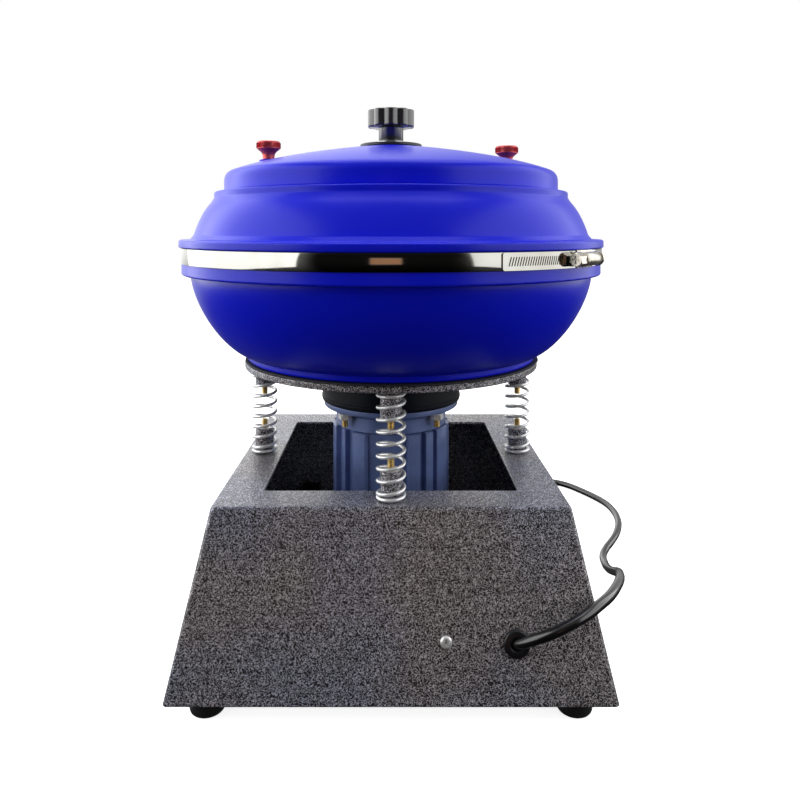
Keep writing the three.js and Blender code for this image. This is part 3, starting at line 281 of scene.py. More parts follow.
def coated(name, shade, roughness, grain=700.0, depth=0.00004, gloss=0.0, metallic=0.0, specular=0.5):
    """Paint, rubber or moulded plastic of one colour, with its own grain and slight unevenness."""
    f = Finish(
        name, Coat_Weight=gloss, Coat_Roughness=0.1, Metallic=metallic, Specular_IOR_Level=specular,
    )
    patch = f.noise(45.0, 3.0)
    fine = f.noise(grain, 2.0)
    darker = [channel * 0.75 for channel in shade]
    f.set(
        Base_Color=f.blend(patch.ramp(0.3, 0.7), rgb(*darker), rgb(*shade)),
        Roughness=roughness - 0.05 + patch * 0.06 + fine * 0.06,
    )
    return f.relief(fine, depth, 0.6).material


def laminations():
    """Stacked core plates with varnished copper end turns above and below them."""
    f = Finish("laminations", Metallic=0.8)
    height = f.node("ShaderNodeSeparateXYZ", {}, {0: f.place}, output=2)
    core = height.ramp(0.0988, 0.0992) - height.ramp(0.1488, 0.1492)
    plates = (height * (TAU / 0.0011)).sine()
    strands = f.noise(300.0, 2.0, stretch=(1.0, 1.0, 6.0))
    copper = f.blend(strands, rgb(0.2, 0.06, 0.02), rgb(0.5, 0.2, 0.07))
    f.set(
        Base_Color=f.blend(core, copper, rgb(0.2, 0.2, 0.21)),
        Roughness=0.45 + strands * 0.2,
    )
    return f.relief(plates * core + strands, 0.0001).material


HAMMERTONE = hammertone()
BLUE = blue_shell()
BRIGHT_ZINC = plated("bright_zinc", (0.86, 0.87, 0.88), (0.66, 0.68, 0.7), 0.16)
SPRING_ZINC = plated("spring_zinc", (0.95, 0.95, 0.95), (0.84, 0.85, 0.86), 0.24, 160.0, 0.55)
YELLOW_ZINC = plated("yellow_zinc", (0.78, 0.6, 0.26), (0.5, 0.36, 0.14), 0.22, 160.0, 0.8)
STEEL = plated("turned_steel", (0.62, 0.62, 0.63), (0.48, 0.48, 0.5), 0.25)
CLAMP_STEEL = plated("clamp_steel", (0.74, 0.71, 0.62), (0.52, 0.48, 0.4), 0.2, 220.0, 0.85)
MIRROR = mirror_band()
RED = plated("red_anodised", (0.72, 0.13, 0.12), (0.56, 0.07, 0.07), 0.3, 400.0, 0.55)
RUBBER = coated("black_rubber", (0.012, 0.012, 0.013), 0.62, 500.0, 0.00012)
GROMMET_RUBBER = coated("grommet_rubber", (0.006, 0.006, 0.009), 0.34, 400.0, 0.00004, 0.12)
KNOB_BLACK = coated("knob_black", (0.008, 0.008, 0.01), 0.3, 300.0, 0.00002, 0.6, specular=1.0)
DISC_BLACK = coated("disc_black", (0.014, 0.015, 0.02), 0.4, 600.0)
HOUSING_BLACK = coated("housing_black", (0.003, 0.005, 0.011), 0.4, 350.0, 0.0001, specular=0.2)
MOTOR_BLUE = coated("motor_paint", (0.14, 0.2, 0.44), 0.34, 260.0, 0.00012, 0.3, 0.2)
SWITCH_BLACK = coated("switch_black", (0.01, 0.01, 0.011), 0.35, 900.0)
SHEATH = coated("cord_sheath", (0.008, 0.008, 0.009), 0.22, 500.0, 0.00003, 0.7)
PLUG_BLACK = coated("plug_black", (0.01, 0.01, 0.011), 0.4, 800.0, 0.00006)
CAN_CREAM = coated("capacitor_case", (0.62, 0.6, 0.52), 0.4, 500.0)
IRON = coated("cast_iron", (0.07, 0.07, 0.075), 0.6, 320.0, 0.0003, 0.0, 0.7)
MARK_WHITE = coated("mark_white", (0.75, 0.75, 0.73), 0.45)
LAMINATIONS = laminations()


# ---------------------------------------------------------------- meshes
def shaded(thing, sharp=38.0):
    """Smooth shading with sharp edges where faces meet at more than this many degrees."""
    thing.data.shade_smooth()
    thing.data.set_sharp_from_angle(angle=math.radians(sharp))
    return thing


def piece(name, points, faces, finish, sharp=38.0):
    mesh = bpy.data.meshes.new(name)
    mesh.from_pydata([(x * MM, y * MM, z * MM) for x, y, z in points], [], faces)
    if finish:
        mesh.materials.append(finish)
    thing = bpy.data.objects.new(name, mesh)
    bpy.context.scene.collection.objects.link(thing)
    return shaded(thing, sharp)


def placed(thing, matrix):
    """Moves a piece's mesh; the matrix shifts in millimetres."""
    step = matrix.copy()
    step.translation = step.translation * MM
    thing.data.transform(step)
    return thing


def moved(thing, x=0.0, y=0.0, z=0.0):
    return placed(thing, Matrix.Translation((x, y, z)))


def copied(thing, name, x=0.0, y=0.0, z=0.0):
    twin = bpy.data.objects.new(name, thing.data.copy())
    bpy.context.scene.collection.objects.link(twin)
    return moved(twin, x, y, z)


def discarded(thing):
    bpy.data.objects.remove(thing)


def joined(name, parts):
    """Several closed bodies as one piece."""
    with bpy.context.temp_override(active_object=parts[0], selected_editable_objects=parts):
        bpy.ops.object.join()
    parts[0].name = name
    return parts[0]


def settled(thing, sharp=38.0):
    """Turns what the modifiers make into the piece's plain mesh."""
    sight = bpy.context.evaluated_depsgraph_get()
    mesh = bpy.data.meshes.new_from_object(thing.evaluated_get(sight), depsgraph=sight)
    thing.modifiers.clear()
    thing.data = mesh
    return shaded(thing, sharp)


def cut(thing, tool, operation="DIFFERENCE", sharp=38.0):
    change = thing.modifiers.new("cut", "BOOLEAN")
    change.operation = operation
    change.object = tool
    change.solver = "EXACT"
    settled(thing, sharp)
    discarded(tool)
    return thing


def rounded(outline, radius=0.0, steps=4):
    """Rounds the corners of a closed outline, and keeps the flats between them shaded flat.

    A corner may carry its own radius as a third number."""
    points = []
    for index, corner in enumerate(outline):
        here = Vector(corner[:2])
        before = Vector(outline[index - 1][:2]) - here
        after = Vector(outline[(index + 1) % len(outline)][:2]) - here
        size = corner[2] if len(corner) > 2 else radius
        turn = math.pi - before.angle(after, math.pi)
        if size <= 0 or turn < 0.02:
            points.append(tuple(here))
            continue
        reach = min(size * math.tan(turn / 2), 0.49 * before.length, 0.49 * after.length)
        size = reach / math.tan(turn / 2)
        guard = reach * 1.3 + 0.04
        guarded = guard < 0.49 * min(before.length, after.length)
        inwards = (before.normalized() + after.normalized()).normalized()
        centre = here + inwards * math.hypot(reach, size)
        start = here + before.normalized() * reach - centre
        swing = start.angle_signed(here + after.normalized() * reach - centre)
        if guarded:
            points.append(tuple(here + before.normalized() * guard))
        for step in range(steps + 1):
            angle = -swing * step / steps
            spoke = Vector((
                start.x * math.cos(angle) - start.y * math.sin(angle),
                start.x * math.sin(angle) + start.y * math.cos(angle),
            ))
            points.append(tuple(centre + spoke))
        if guarded:
            points.append(tuple(here + after.normalized() * guard))
    return points


def facing_out(outline):
    """The outline turned counter-clockwise, if it isn't."""
    area = sum(
        a[0] * b[1] - b[0] * a[1] for a, b in zip(outline, outline[1:] + outline[:1])
    )
    return outline if area > 0 else outline[::-1]


def swept(rings, closed):
    """Faces between rings of point numbers, each as long as the others or a single pole."""
    faces = []
    pairs = list(zip(rings, rings[1:] + rings[:1])) if closed else list(zip(rings, rings[1:]))
    for low, high in pairs:
        for j in range(max(len(low), len(high))):
            corners = []
            for ring, k in ((low, j), (low, j + 1), (high, j + 1), (high, j)):
                number = ring[k % len(ring)]
                if number not in corners:
                    corners.append(number)
            if len(corners) > 2:
                faces.append(corners)
    return faces


def lathe(name, outline, finish, sides=96, centre=(0.0, 0.0), sharp=38.0):
    """Turns a closed outline of (radius, height) round a vertical axis."""
    points, rings = [], []
    for radius, height in facing_out([corner[:2] for corner in outline]):
        count = 1 if radius < 1e-6 else sides
        rings.append(list(range(len(points), len(points) + count)))
        for j in range(count):
            angle = TAU * j / sides
            points.append((
                centre[0] + radius * math.cos(angle), centre[1] + radius * math.sin(angle), height,
            ))
    return piece(name, points, swept(rings, True), finish, sharp)


def loft(name, levels, finish, closed=False, sharp=38.0):
    """A skin over levels with equal numbers of points, each counter-clockwise seen from the last level."""
    count = len(levels[0])
    points = [point for level in levels for point in level]
    rings = [list(range(i * count, (i + 1) * count)) for i in range(len(levels))]
    faces = swept(rings, closed)
    if not closed:
        faces += [rings[0][::-1], rings[-1]]
    return piece(name, points, faces, finish, sharp)


def prism(name, outline, bottom, top, finish, chamfer=0.0, sharp=38.0):
    """An upright block over a closed outline of (x, y), with its end edges eased by chamfer."""
    outline = facing_out([corner[:2] for corner in outline])
    reach = max(math.hypot(x, y) for x, y in outline)
    less = 1 - chamfer / reach
    stages = [(less, bottom), (1, bottom + chamfer), (1, top - chamfer), (less, top)]
    if not chamfer:
        stages = [(1, bottom), (1, top)]
    levels = [[(x * scale, y * scale, z) for x, y in outline] for scale, z in stages]
    return loft(name, levels, finish, sharp=sharp)


def circle(radius, sides):
    angles = [TAU * i / sides for i in range(sides)]
    return [(radius * math.cos(angle), radius * math.sin(angle)) for angle in angles]


def hexagon(flats):
    return circle(flats / math.sqrt(3), 6)


def rounded_rectangle(half_length, half_width, radius, steps=5):
    corners = [
        (half_length, half_width), (-half_length, half_width),
        (-half_length, -half_width), (half_length, -half_width),
    ]
    return rounded([(x, y, radius) for x, y in corners], steps=steps)


def threaded(name, radius, pitch, bottom, top, finish, sides=24, steps=6):
    """A rod with a real screw thread and chamfered ends."""
    depth = 0.6 * pitch
    count = math.ceil((top - bottom) / pitch * steps)
    levels = []
    for j in range(count + 1):
        height = bottom + (top - bottom) * j / count
        ring = []
        for i in range(sides):
            phase = (height / pitch - i / sides) % 1
            crest = radius - depth * abs(2 * phase - 1)
            size = min(crest, radius - depth + min(height - bottom, top - height))
            ring.append((size * math.cos(TAU * i / sides), size * math.sin(TAU * i / sides), height))
        levels.append(ring)
    return loft(name, levels, finish, sharp=60.0)


def drill(radius, bottom, top, x=0.0, y=0.0, sides=32):
    """A cylinder that cuts a hole."""
    outline = [(0, bottom), (radius, bottom), (radius, top), (0, top)]
    return lathe("drill", outline, None, sides, (x, y))


# ---------------------------------------------------------------- shapes that repeat or follow a path
class Shape(Tree):
    """A Geometry Nodes tree with named inputs, run once for each piece."""

    KINDS = {
        "shape": "NodeSocketGeometry", "count": "NodeSocketInt",
        "size": "NodeSocketFloat", "finish": "NodeSocketMaterial",
    }

    def __init__(self, name, **inputs):
        super().__init__(bpy.data.node_groups.new(name, "GeometryNodeTree"))
        face = self.node_tree.interface
        self.inputs = {
            key: face.new_socket(name=key, in_out="INPUT", socket_type=self.KINDS[kind])
            for key, kind in inputs.items()
        }
        face.new_socket(name="result", in_out="OUTPUT", socket_type="NodeSocketGeometry")
        self.given = self.node_tree.nodes.new("NodeGroupInput")

    def value(self, key):
        return Value(self, self.given.outputs[key])

    def result(self, geometry):
        whole = self.node("GeometryNodeRealizeInstances", {}, {0: geometry})
        painted = self.node("GeometryNodeSetMaterial", {}, {0: whole, "Material": self.value("finish")})
        self.node("NodeGroupOutput", {}, {0: painted})

    def make(self, name, start=None, sharp=38.0, **values):
        """Runs the tree on a starting piece, or on nothing, and keeps the plain mesh."""
        thing = start or piece(name, [], [], None)
        thing.name = name
        shape = thing.modifiers.new("shape", "NODES")
        shape.node_group = self.node_tree
        for key, value in values.items():
            shape[self.inputs[key].identifier] = value
        return settled(thing, sharp)


def spring_shape():
    """A compression spring: one closed turn at each end and open turns between them."""
    s = Shape(
        "coil_spring", start="shape", wire="size", coil_radius="size", bottom="size", top="size",
        open_turns="size", closed_pitch="size", steps_per_turn="count", first_angle="size", finish="finish",
    )
    turns, steps = s.value("open_turns") + 2, s.value("steps_per_turn")
    line = s.node("GeometryNodeMeshLine", {}, {"Count": turns * steps + 1})
    turn = s.node("GeometryNodeInputIndex") / steps
    opened = (turn - 1).most(0.0).least(s.value("open_turns"))
    wire, closed = s.value("wire"), s.value("closed_pitch")
    climb = s.value("top") - s.value("bottom") - wire - closed * 2
    height = s.value("bottom") + wire / 2 + (turn - opened) * closed + opened * climb / s.value("open_turns")
    angle, radius = turn * TAU + s.value("first_angle"), s.value("coil_radius")
    point = s.node(
        "ShaderNodeCombineXYZ", {}, {0: radius * angle.cosine(), 1: radius * angle.sine(), 2: height},
    )
    bent = s.node("GeometryNodeSetPosition", {}, {"Geometry": line, "Position": point})
    path = s.node("GeometryNodeMeshToCurve", {}, {"Mesh": bent})
    section = s.node("GeometryNodeCurvePrimitiveCircle", {}, {"Resolution": 14, "Radius": wire / 2})
    tube = s.node(
        "GeometryNodeCurveToMesh", {}, {"Curve": path, "Profile Curve": section, "Fill Caps": True},
    )
    s.result(tube)
    return s


def ring_of():
    """Copies of the starting piece round the vertical axis, each turned with its place."""
    s = Shape("ring_of", start="shape", count="count", radius="size", first_angle="size", finish="finish")
    angle = s.node("GeometryNodeInputIndex") / s.value("count") * TAU + s.value("first_angle")
    radius = s.value("radius")
    line = s.node("GeometryNodeMeshLine", {}, {"Count": s.value("count")})
    point = s.node(
        "ShaderNodeCombineXYZ", {}, {0: radius * angle.cosine(), 1: radius * angle.sine()},
    )
    places = s.node("GeometryNodeSetPosition", {}, {"Geometry": line, "Position": point})
    facing = s.node("ShaderNodeCombineXYZ", {}, {2: angle})
    s.result(s.node(
        "GeometryNodeInstanceOnPoints", {},
        {"Points": places, "Instance": s.value("start"), "Rotation": facing},
    ))
    return s


def row_of():
    """Copies of the starting piece in a row along X."""
    s = Shape("row_of", start="shape", count="count", pitch="size", finish="finish")
    step = s.node("ShaderNodeCombineXYZ", {}, {0: s.value("pitch")})
    line = s.node("GeometryNodeMeshLine", {}, {"Count": s.value("count"), "Offset": step})
    s.result(s.node(
        "GeometryNodeInstanceOnPoints", {}, {"Points": line, "Instance": s.value("start")},
    ))
    return s


COIL_SPRING = spring_shape()
RING_OF = ring_of()
ROW_OF = row_of()


# ---------------------------------------------------------------- camera and cord
def camera():
    made = bpy.data.cameras.new("camera")
    made.sensor_width = 36.0
    made.lens = 32.085
    made.shift_x = 0.0113
    made.shift_y = -0.2134
    thing = bpy.data.objects.new("camera", made)
    thing.location = (0.0, -0.656, 0.351)
    thing.rotation_euler = (math.radians(90), 0.0, 0.0)
    bpy.context.scene.collection.objects.link(thing)
    bpy.context.scene.camera = thing


CORD_ROUTE = [
    (90.5, -154.6, 59.3), (99.4, -160.5, 65.6), (109.7, -164, 71.3), (119.6, -164.7, 76.2),
    (128.5, -162.9, 79.9), (138, -158.2, 82.5), (148, -149.4, 83.8), (158.7, -136.2, 82.7),
    (169.5, -117.6, 79.7), (180.4, -93.8, 75), (188.9, -66.1, 66.4), (196.5, -36.7, 53.5),
    (203.4, -6.1, 39.2), (210.1, 24.6, 25.5), (216.4, 53.6, 13.4), (221.2, 79.9, 5.5), (225.5, 102.3, 3.75),
    (233.7, 119.3, 3.75), (245.1, 136.9, 3.75), (258.5, 160.5, 3.75), (269.8, 189.8, 3.75),
    (274.3, 220.3, 3.75), (272.1, 246.9, 3.75), (263.6, 270, 3.75), (252.3, 291.6, 3.75),
    (240.9, 309.5, 3.75), (228.6, 320.8, 3.75), (212.5, 326.5, 3.75), (192.1, 326.6, 3.75),
    (168.7, 322.6, 3.75), (143.7, 316.1, 3.75), (118, 307.75, 3.75),
]
CORD_START = (86.6, -148.0, 56.4)  # inside the base
PLUG_START = 73.5
PLUG_ACROSS = coil.y + coil.radius - CORD / 2


def smooth_step(value, low, high):
    share = min(max((value - low) / (high - low), 0.0), 1.0)
    return share * share * (3 - 2 * share)


def coil_point(turned):
    """The cord in its coil, so many degrees after it comes in: two turns wide and two turns high."""
    outer, inner = coil.radius - CORD / 2, coil.radius - CORD * 1.5
    away = smooth_step(turned, 280, 360) - smooth_step(turned, 1000, 1080)
    radius = outer + (inner - outer) * away
    angle = math.radians(90 + turned)
    height = CORD / 2 + CORD * smooth_step(turned, 640, 720)
    return (coil.x + radius * math.cos(angle), coil.y + radius * math.sin(angle), height)


def cord_points():
    wound = [coil_point(20 * step) for step in range(4 * 18 + 1)]
    return [CORD_START, *CORD_ROUTE, *wound, (86.0, PLUG_ACROSS, 1.5 * CORD), (71.0, PLUG_ACROSS, 1.5 * CORD)]


def cord():
    """One smooth curve through the cord's points, with centripetal tangents."""
    points = [Vector(point) * MM for point in cord_points()]
    ends = [2 * points[0] - points[1], *points, 2 * points[-1] - points[-2]]
    gaps = [math.sqrt((b - a).length) for a, b in zip(ends, ends[1:])]
    line = bpy.data.curves.new("mains_cord", "CURVE")
    line.dimensions = "3D"
    line.bevel_depth = CORD / 2 * MM
    line.bevel_resolution = 5
    line.use_fill_caps = True
    line.resolution_u = 6
    line.materials.append(SHEATH)
    spline = line.splines.new("BEZIER")
    spline.bezier_points.add(len(points) - 1)
    for index, knot in enumerate(spline.bezier_points):
        before, here, after = ends[index:index + 3]
        gap_in, gap_out = gaps[index:index + 2]
        slope = (
            (here - before) / gap_in - (after - before) / (gap_in + gap_out) + (after - here) / gap_out
        )
        knot.co = here
        knot.handle_left_type = knot.handle_right_type = "FREE"
        knot.handle_left = here - slope * gap_in / 3
        knot.handle_right = here + slope * gap_out / 3
    thing = bpy.data.objects.new("mains_cord", line)
    bpy.context.scene.collection.objects.link(thing)
    return thing


def plug():
    """A moulded three-pin plug with a grooved strain relief, lying along -X."""
    levels = []
    for along, height, width, corner in (
        (25.0, 8.0, 12.0, 3.9), (26.5, 12.5, 17.5, 5.5), (30.0, 17.0, 23.0, 6.5), (36.0, 20.6, 28.6, 6.5),
        (42.0, 21.5, 30.0, 6.0), (60.0, 21.5, 30.0, 6.0), (61.6, 21.0, 29.5, 6.0), (62.6, 19.8, 28.3, 5.5),
        (64.0, 19.2, 27.7, 5.2),
    ):
        section = rounded_rectangle(height / 2, width / 2, corner, 5)
        levels.append([(x, y, along) for x, y in section])
    body = loft("plug_body", levels, PLUG_BLACK, sharp=50.0)
    relief = [(0, 0)]
    for step in range(7):
        start = 1.0 + step * 3.6
        size = CORD / 2 + 0.8 + 2.6 * start / 26
        relief += [
            (size, start), (size + 0.1, start + 2.1), (size - 0.9, start + 2.4), (size - 0.9, start + 3.3),
        ]
    relief += [(7.0, 27.0), (0, 27.0)]
    sleeve = lathe("plug_relief", rounded(relief, 0.25, 2), PLUG_BLACK, 32)
    parts = [body, sleeve]
    for across in (-6.35, 6.35):
        blade = rounded_rectangle(3.1, 0.75, 0.3, 2)
        parts.append(moved(prism("blade", blade, 63.0, 81.0, STEEL, 0.25), 0, across))
    parts.append(moved(lathe("pin", rounded([(0, 63), (2.4, 63), (2.4, 83, 2.0), (0, 83)]), STEEL, 24), 7.0))
    whole = joined("mains_plug", parts)
    lying = Matrix(((0, 0, -1, PLUG_START), (0, 1, 0, PLUG_ACROSS), (1, 0, 0, 1.5 * CORD), (0, 0, 0, 1)))
    return placed(whole, lying)


def coil_tie():
    """A hook-and-loop strap round the coil's four turns, at its left side."""
    middle, height = coil.radius - CORD, CORD
    outside = rounded_rectangle(CORD + 1.0, CORD + 0.2, 4.2, 6)
    inside = rounded_rectangle(CORD + 0.1, CORD - 0.7, 3.4, 6)
    levels = []
    for outline, along in ((outside, -5.0), (outside, 5.0), (inside, 5.0), (inside, -5.0)):
        levels.append([(x, z, along) for x, z in outline])
    strap = loft("coil_tie", levels, RUBBER, closed=True)
    upright = Matrix(((-1, 0, 0, coil.x - middle), (0, 0, 1, coil.y), (0, 1, 0, height + 0.25), (0, 0, 0, 1)))
    return placed(strap, upright)


def fitted(thing, body, slot, *nodes):
    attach(thing, body)
    if nodes:
        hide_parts(*nodes)
    return thing


camera()
mains_cord = fitted(cord(), "base", "cord_sheath", "cord_lead", "cord_coil")
mains_plug = fitted(plug(), "base", "cord_sheath", "plug")
fitted(coil_tie(), "base", "cord_sheath")


# ---------------------------------------------------------------- fasteners
def six_sided(name, flats, bottom, top, finish, bore=0.0, ease=0.22):
    """A hex head or nut with its corners turned off at both ends."""
    corner = flats / math.sqrt(3)
    slack = flats * ease
    block = prism(name, hexagon(flats), bottom, top, finish)
    dome = [
        (0, bottom), (corner * 0.86, bottom), (corner + 0.05, bottom + slack * 0.45),
        (corner + 0.05, top - slack * 0.45), (corner * 0.86, top), (0, top),
    ]
    cut(block, lathe("dome", dome, finish, 48), "INTERSECT", 25.0)
    if bore:
        cut(block, drill(bore, bottom - 1, top + 1), sharp=25.0)
    return block


def toothed_washer(name, radius, bore, bottom, finish):
    """An external-tooth lock washer with its teeth twisted."""
    tooth = piece(
        "tooth",
        [
            (-1.2, -0.75, -0.1), (1.6, -0.5, 0.0), (1.6, 0.5, 0.5), (-1.2, 0.75, 0.2),
            (-1.2, -0.75, 0.6), (1.6, -0.5, 0.7), (1.6, 0.5, 1.2), (-1.2, 0.75, 0.9),
        ],
        [(0, 3, 2, 1), (4, 5, 6, 7), (0, 1, 5, 4), (1, 2, 6, 5), (2, 3, 7, 6), (3, 0, 4, 7)],
        finish,
    )
    teeth = RING_OF.make(
        "teeth", tooth, count=12, radius=(radius - 1.6) * MM, first_angle=0.2, finish=finish, sharp=20.0,
    )
    ring = [(bore, 0), (radius - 1.4, 0), (radius - 1.4, 0.9), (bore, 0.9)]
    washer = lathe("washer", rounded(ring, 0.15, 1), finish, 36)
    return moved(joined(name, [washer, teeth]), z=bottom)


# ---------------------------------------------------------------- base
def wall_at(height):
    """How far the outside of the base is from the middle at a height."""
    return BASE_TOP_HALF + (base.top - height) * math.tan(BASE_SLOPE)


def on_face(turn, across, height):
    """Across, up the slope and outwards of a face of the base, at a point on it."""
    lean, rise = math.sin(BASE_SLOPE), math.cos(BASE_SLOPE)
    front = Matrix((
        (1, 0, 0, across), (0, lean, -rise, -wall_at(height)), (0, rise, lean, height), (0, 0, 0, 1),
    ))
    return Matrix.Rotation(math.radians(turn), 4, "Z") @ front


ON_GROMMET = on_face(0, *GROMMET_PLACE)
ON_SCREW = on_face(0, *SCREW_PLACE)
ON_SWITCH = on_face(180, *SWITCH_PLACE)


def base_housing():
    """Folded and welded sheet, open at the top and turned in at the bottom."""
    wall = SHEET / math.cos(BASE_SLOPE)
    section = rounded([
        (118, base.bottom), (base.radius, base.bottom, 0.8), (BASE_TOP_HALF, base.top, 2.2),
        (OPENING_HALF, base.top, 0.7), (OPENING_HALF, base.top - SHEET),
        (wall_at(base.top - SHEET) - wall, base.top - SHEET, 1.5),
        (wall_at(base.bottom + SHEET) - wall, base.bottom + SHEET, 1.5), (118, base.bottom + SHEET),
    ])
    levels = [[(x, y, z) for x, y in rounded_rectangle(half, half, 3.2, 6)] for half, z in section]
    housing = loft("base_housing", levels, HAMMERTONE, closed=True, sharp=50.0)
    cut(housing, placed(drill(8.0, -9, 6), ON_GROMMET), sharp=50.0)
    cut(housing, placed(drill(2.3, -9, 6), ON_SCREW), sharp=50.0)
    window = prism("window", rounded_rectangle(9.8, 6.8, 1.0), -9, 6, None)
    return cut(housing, placed(window, ON_SWITCH), sharp=50.0)


def rubber_foot(name, x, y, top):
    """A moulded foot with its fixing screw sunk in the middle."""
    pad = rounded([
        (4.5, 0, 0.6), (13, 0, 3.6), (13, top, 0.8), (0, top), (0, 7), (4.5, 7),
    ], steps=6)
    foot = lathe("pad", pad, RUBBER, 64)
    head = rounded([(0, 6.9), (0, 4.2), (1.0, 4.2), (1.0, 3.8), (2.6, 4.1, 0.6), (4.0, 5.6, 0.8), (4.0, 6.9)])
    return moved(joined(name, [foot, lathe("screw", head, STEEL, 32)]), x, y)


def cord_bush():
    """A rubber grommet, with a grooved sleeve inside the base that eases the cord's bend."""
    flange = rounded([
        (4.05, -5.2, 0.3), (9.4, -4.8, 0.9), (9.4, -2.3, 0.5), (7.7, -2.3, 0.2), (7.7, 0.3, 0.2),
        (9.5, 0.3, 0.4), (9.3, 3.0, 1.8), (5.2, 3.2, 0.9), (4.05, 2.2, 0.5),
    ], steps=6)
    sleeve = [(4.05, -4.6), (6.6, -4.6)]
    for step in range(6):
        start = -6.0 - step * 3.4
        size = 6.4 - step * 0.28
        sleeve += [
            (size, start), (size - 0.1, start - 2.2), (size - 0.9, start - 2.5), (size - 0.9, start - 3.1),
        ]
    sleeve += [(4.5, -28.0), (4.05, -28.0)]
    parts = [
        lathe("flange", flange, GROMMET_RUBBER, 64, sharp=50.0),
        lathe("sleeve", rounded(sleeve, 0.2, 2), GROMMET_RUBBER, 40),
    ]
    return placed(joined("cord_bush", parts), ON_GROMMET)


def cross_recess(reach, width, top, depth):
    """The cutter for a cross recess, narrowing towards its floor."""
    arms = []
    for turn in (0, 90):
        levels = []
        for share, height in ((0.45, top - depth), (1.0, top + 0.5)):
            outline = [(reach * share, width / 2), (-reach * share, width / 2),
                       (-reach * share, -width / 2), (reach * share, -width / 2)]
            levels.append([(x, y, height) for x, y in outline])
        arms.append(placed(loft("arm", levels, None), Matrix.Rotation(math.radians(turn), 4, "Z")))
    return cut(arms[0], arms[1], "UNION")


def panel_fixing():
    """A plated pan-head screw."""
    head = [
        (0, 0.3), (4.35, 0.3, 0.25), (4.3, 1.5, 0.5), (3.4, 2.45, 1.4), (1.6, 2.75, 1.5), (0, 2.8),
    ]
    whole = lathe("head", rounded(head, steps=5), SPRING_ZINC, 64, sharp=50.0)
    cut(whole, cross_recess(2.9, 1.4, 2.8, 2.2), sharp=35.0)
    shank = threaded("shank", 2.0, 0.8, -14.0, 0.6, BRIGHT_ZINC, 18)
    return placed(joined("panel_fixing", [whole, shank]), ON_SCREW)


def switch_body():
    """A snap-in rocker switch body with a bezel and three terminals."""
    body = prism("switch_body", rounded_rectangle(9.5, 6.5, 0.8), -14.0, 0.9, SWITCH_BLACK, 0.3)
    bezel = prism("bezel", rounded_rectangle(11.0, 8.0, 1.6), 0.3, 2.3, SWITCH_BLACK, 0.6)
    cut(body, bezel, "UNION")
    cut(body, prism("pocket", rounded_rectangle(8.6, 5.6, 0.5), -7.0, 4.0, SWITCH_BLACK))
    parts = [body]
    for along in (-6.2, 0.0, 6.2):
        blade = rounded_rectangle(0.4, 2.3, 0.15, 2)
        parts.append(moved(prism("terminal", blade, -21.0, -13.5, BRIGHT_ZINC, 0.2), along))
    return placed(joined("switch_body", parts), ON_SWITCH)


def rocker_button():
    """The rocker, off side down, with its generic on and off marks."""
    outline = rounded([
        (-7.7, 3.4, 0.9), (-7.7, 1.2, 0.8), (0, -4.0, 2.0), (7.7, 1.2, 0.8), (7.7, 3.4, 0.9), (0, 1.9, 14.0),
    ], steps=7)
    button = prism("rocker_button", outline, -5.3, 5.3, SWITCH_BLACK, 0.35, sharp=50.0)
    placed(button, Matrix.Rotation(math.radians(90), 4, "X"))
    lean = math.atan(1.5 / 7.7)
    low, high = -0.1, 0.06
    on_mark = prism("on", rounded_rectangle(0.3, 1.6, 0.2, 2), low, high, MARK_WHITE)
    moved(on_mark, -4.9, 0, 2.85)
    off_mark = lathe("off", [(1.2, low), (1.7, low), (1.7, high), (1.2, high)], MARK_WHITE, 32)
    placed(off_mark, Matrix.Translation((4.9, 0, 2.85)) @ Matrix.Rotation(-lean, 4, "Y"))
    whole = joined("rocker_button", [button, on_mark, off_mark])
    return placed(placed(whole, Matrix.Rotation(math.radians(10), 4, "Y")), ON_SWITCH)


fitted(base_housing(), "base", "hammertone_paint", "base_shell")
for corner in ("front_left", "front_right", "rear_left", "rear_right"):
    place = Extent(f"foot_{corner}")
    foot = rubber_foot(f"rubber_foot_{corner}", place.x, place.y, place.top)
    fitted(foot, "base", "black_rubber", f"foot_{corner}")
fitted(cord_bush(), "base", "black_rubber", "cord_grommet")
fitted(panel_fixing(), "base", "bright_steel", "panel_screw")
fitted(switch_body(), "base", "black_plastic", "switch_housing")
fitted(rocker_button(), "rocker", "black_plastic", "switch_rocker")


# ---------------------------------------------------------------- springs and their posts
def post(name, bottom, top):
    outline = [(3.3, bottom, 0.3), (8.2, bottom, 0.5), (8.2, top, 0.7), (3.3, top, 0.4)]
    return lathe(name, rounded(outline), HAMMERTONE, 48)


def lower_bolt(name, low, high, washer_height):
    """A hex bolt from inside the base, with a toothed washer on its post."""
    head = six_sided("head", 10.0, low, low + 4.0, YELLOW_ZINC)
    shank = threaded("shank", BOLT_RADIUS, 1.0, low + 3.5, high, YELLOW_ZINC, 20)
    return joined(name, [head, shank, toothed_washer("washer", 7.0, 3.2, washer_height, SPRING_ZINC)])


def upper_bolt(name, low, high):
    """A countersunk bolt through the deck."""
    brim = 2 * BOLT_RADIUS
    head = [(0, high - 3.2), (BOLT_RADIUS, high - 3.2), (brim, high - 0.2), (brim, high), (0, high)]
    shank = threaded("shank", BOLT_RADIUS, 1.0, low, high - 2.5, YELLOW_ZINC, 20)
    return joined(name, [lathe("head", head, YELLOW_ZINC, 32), shank])


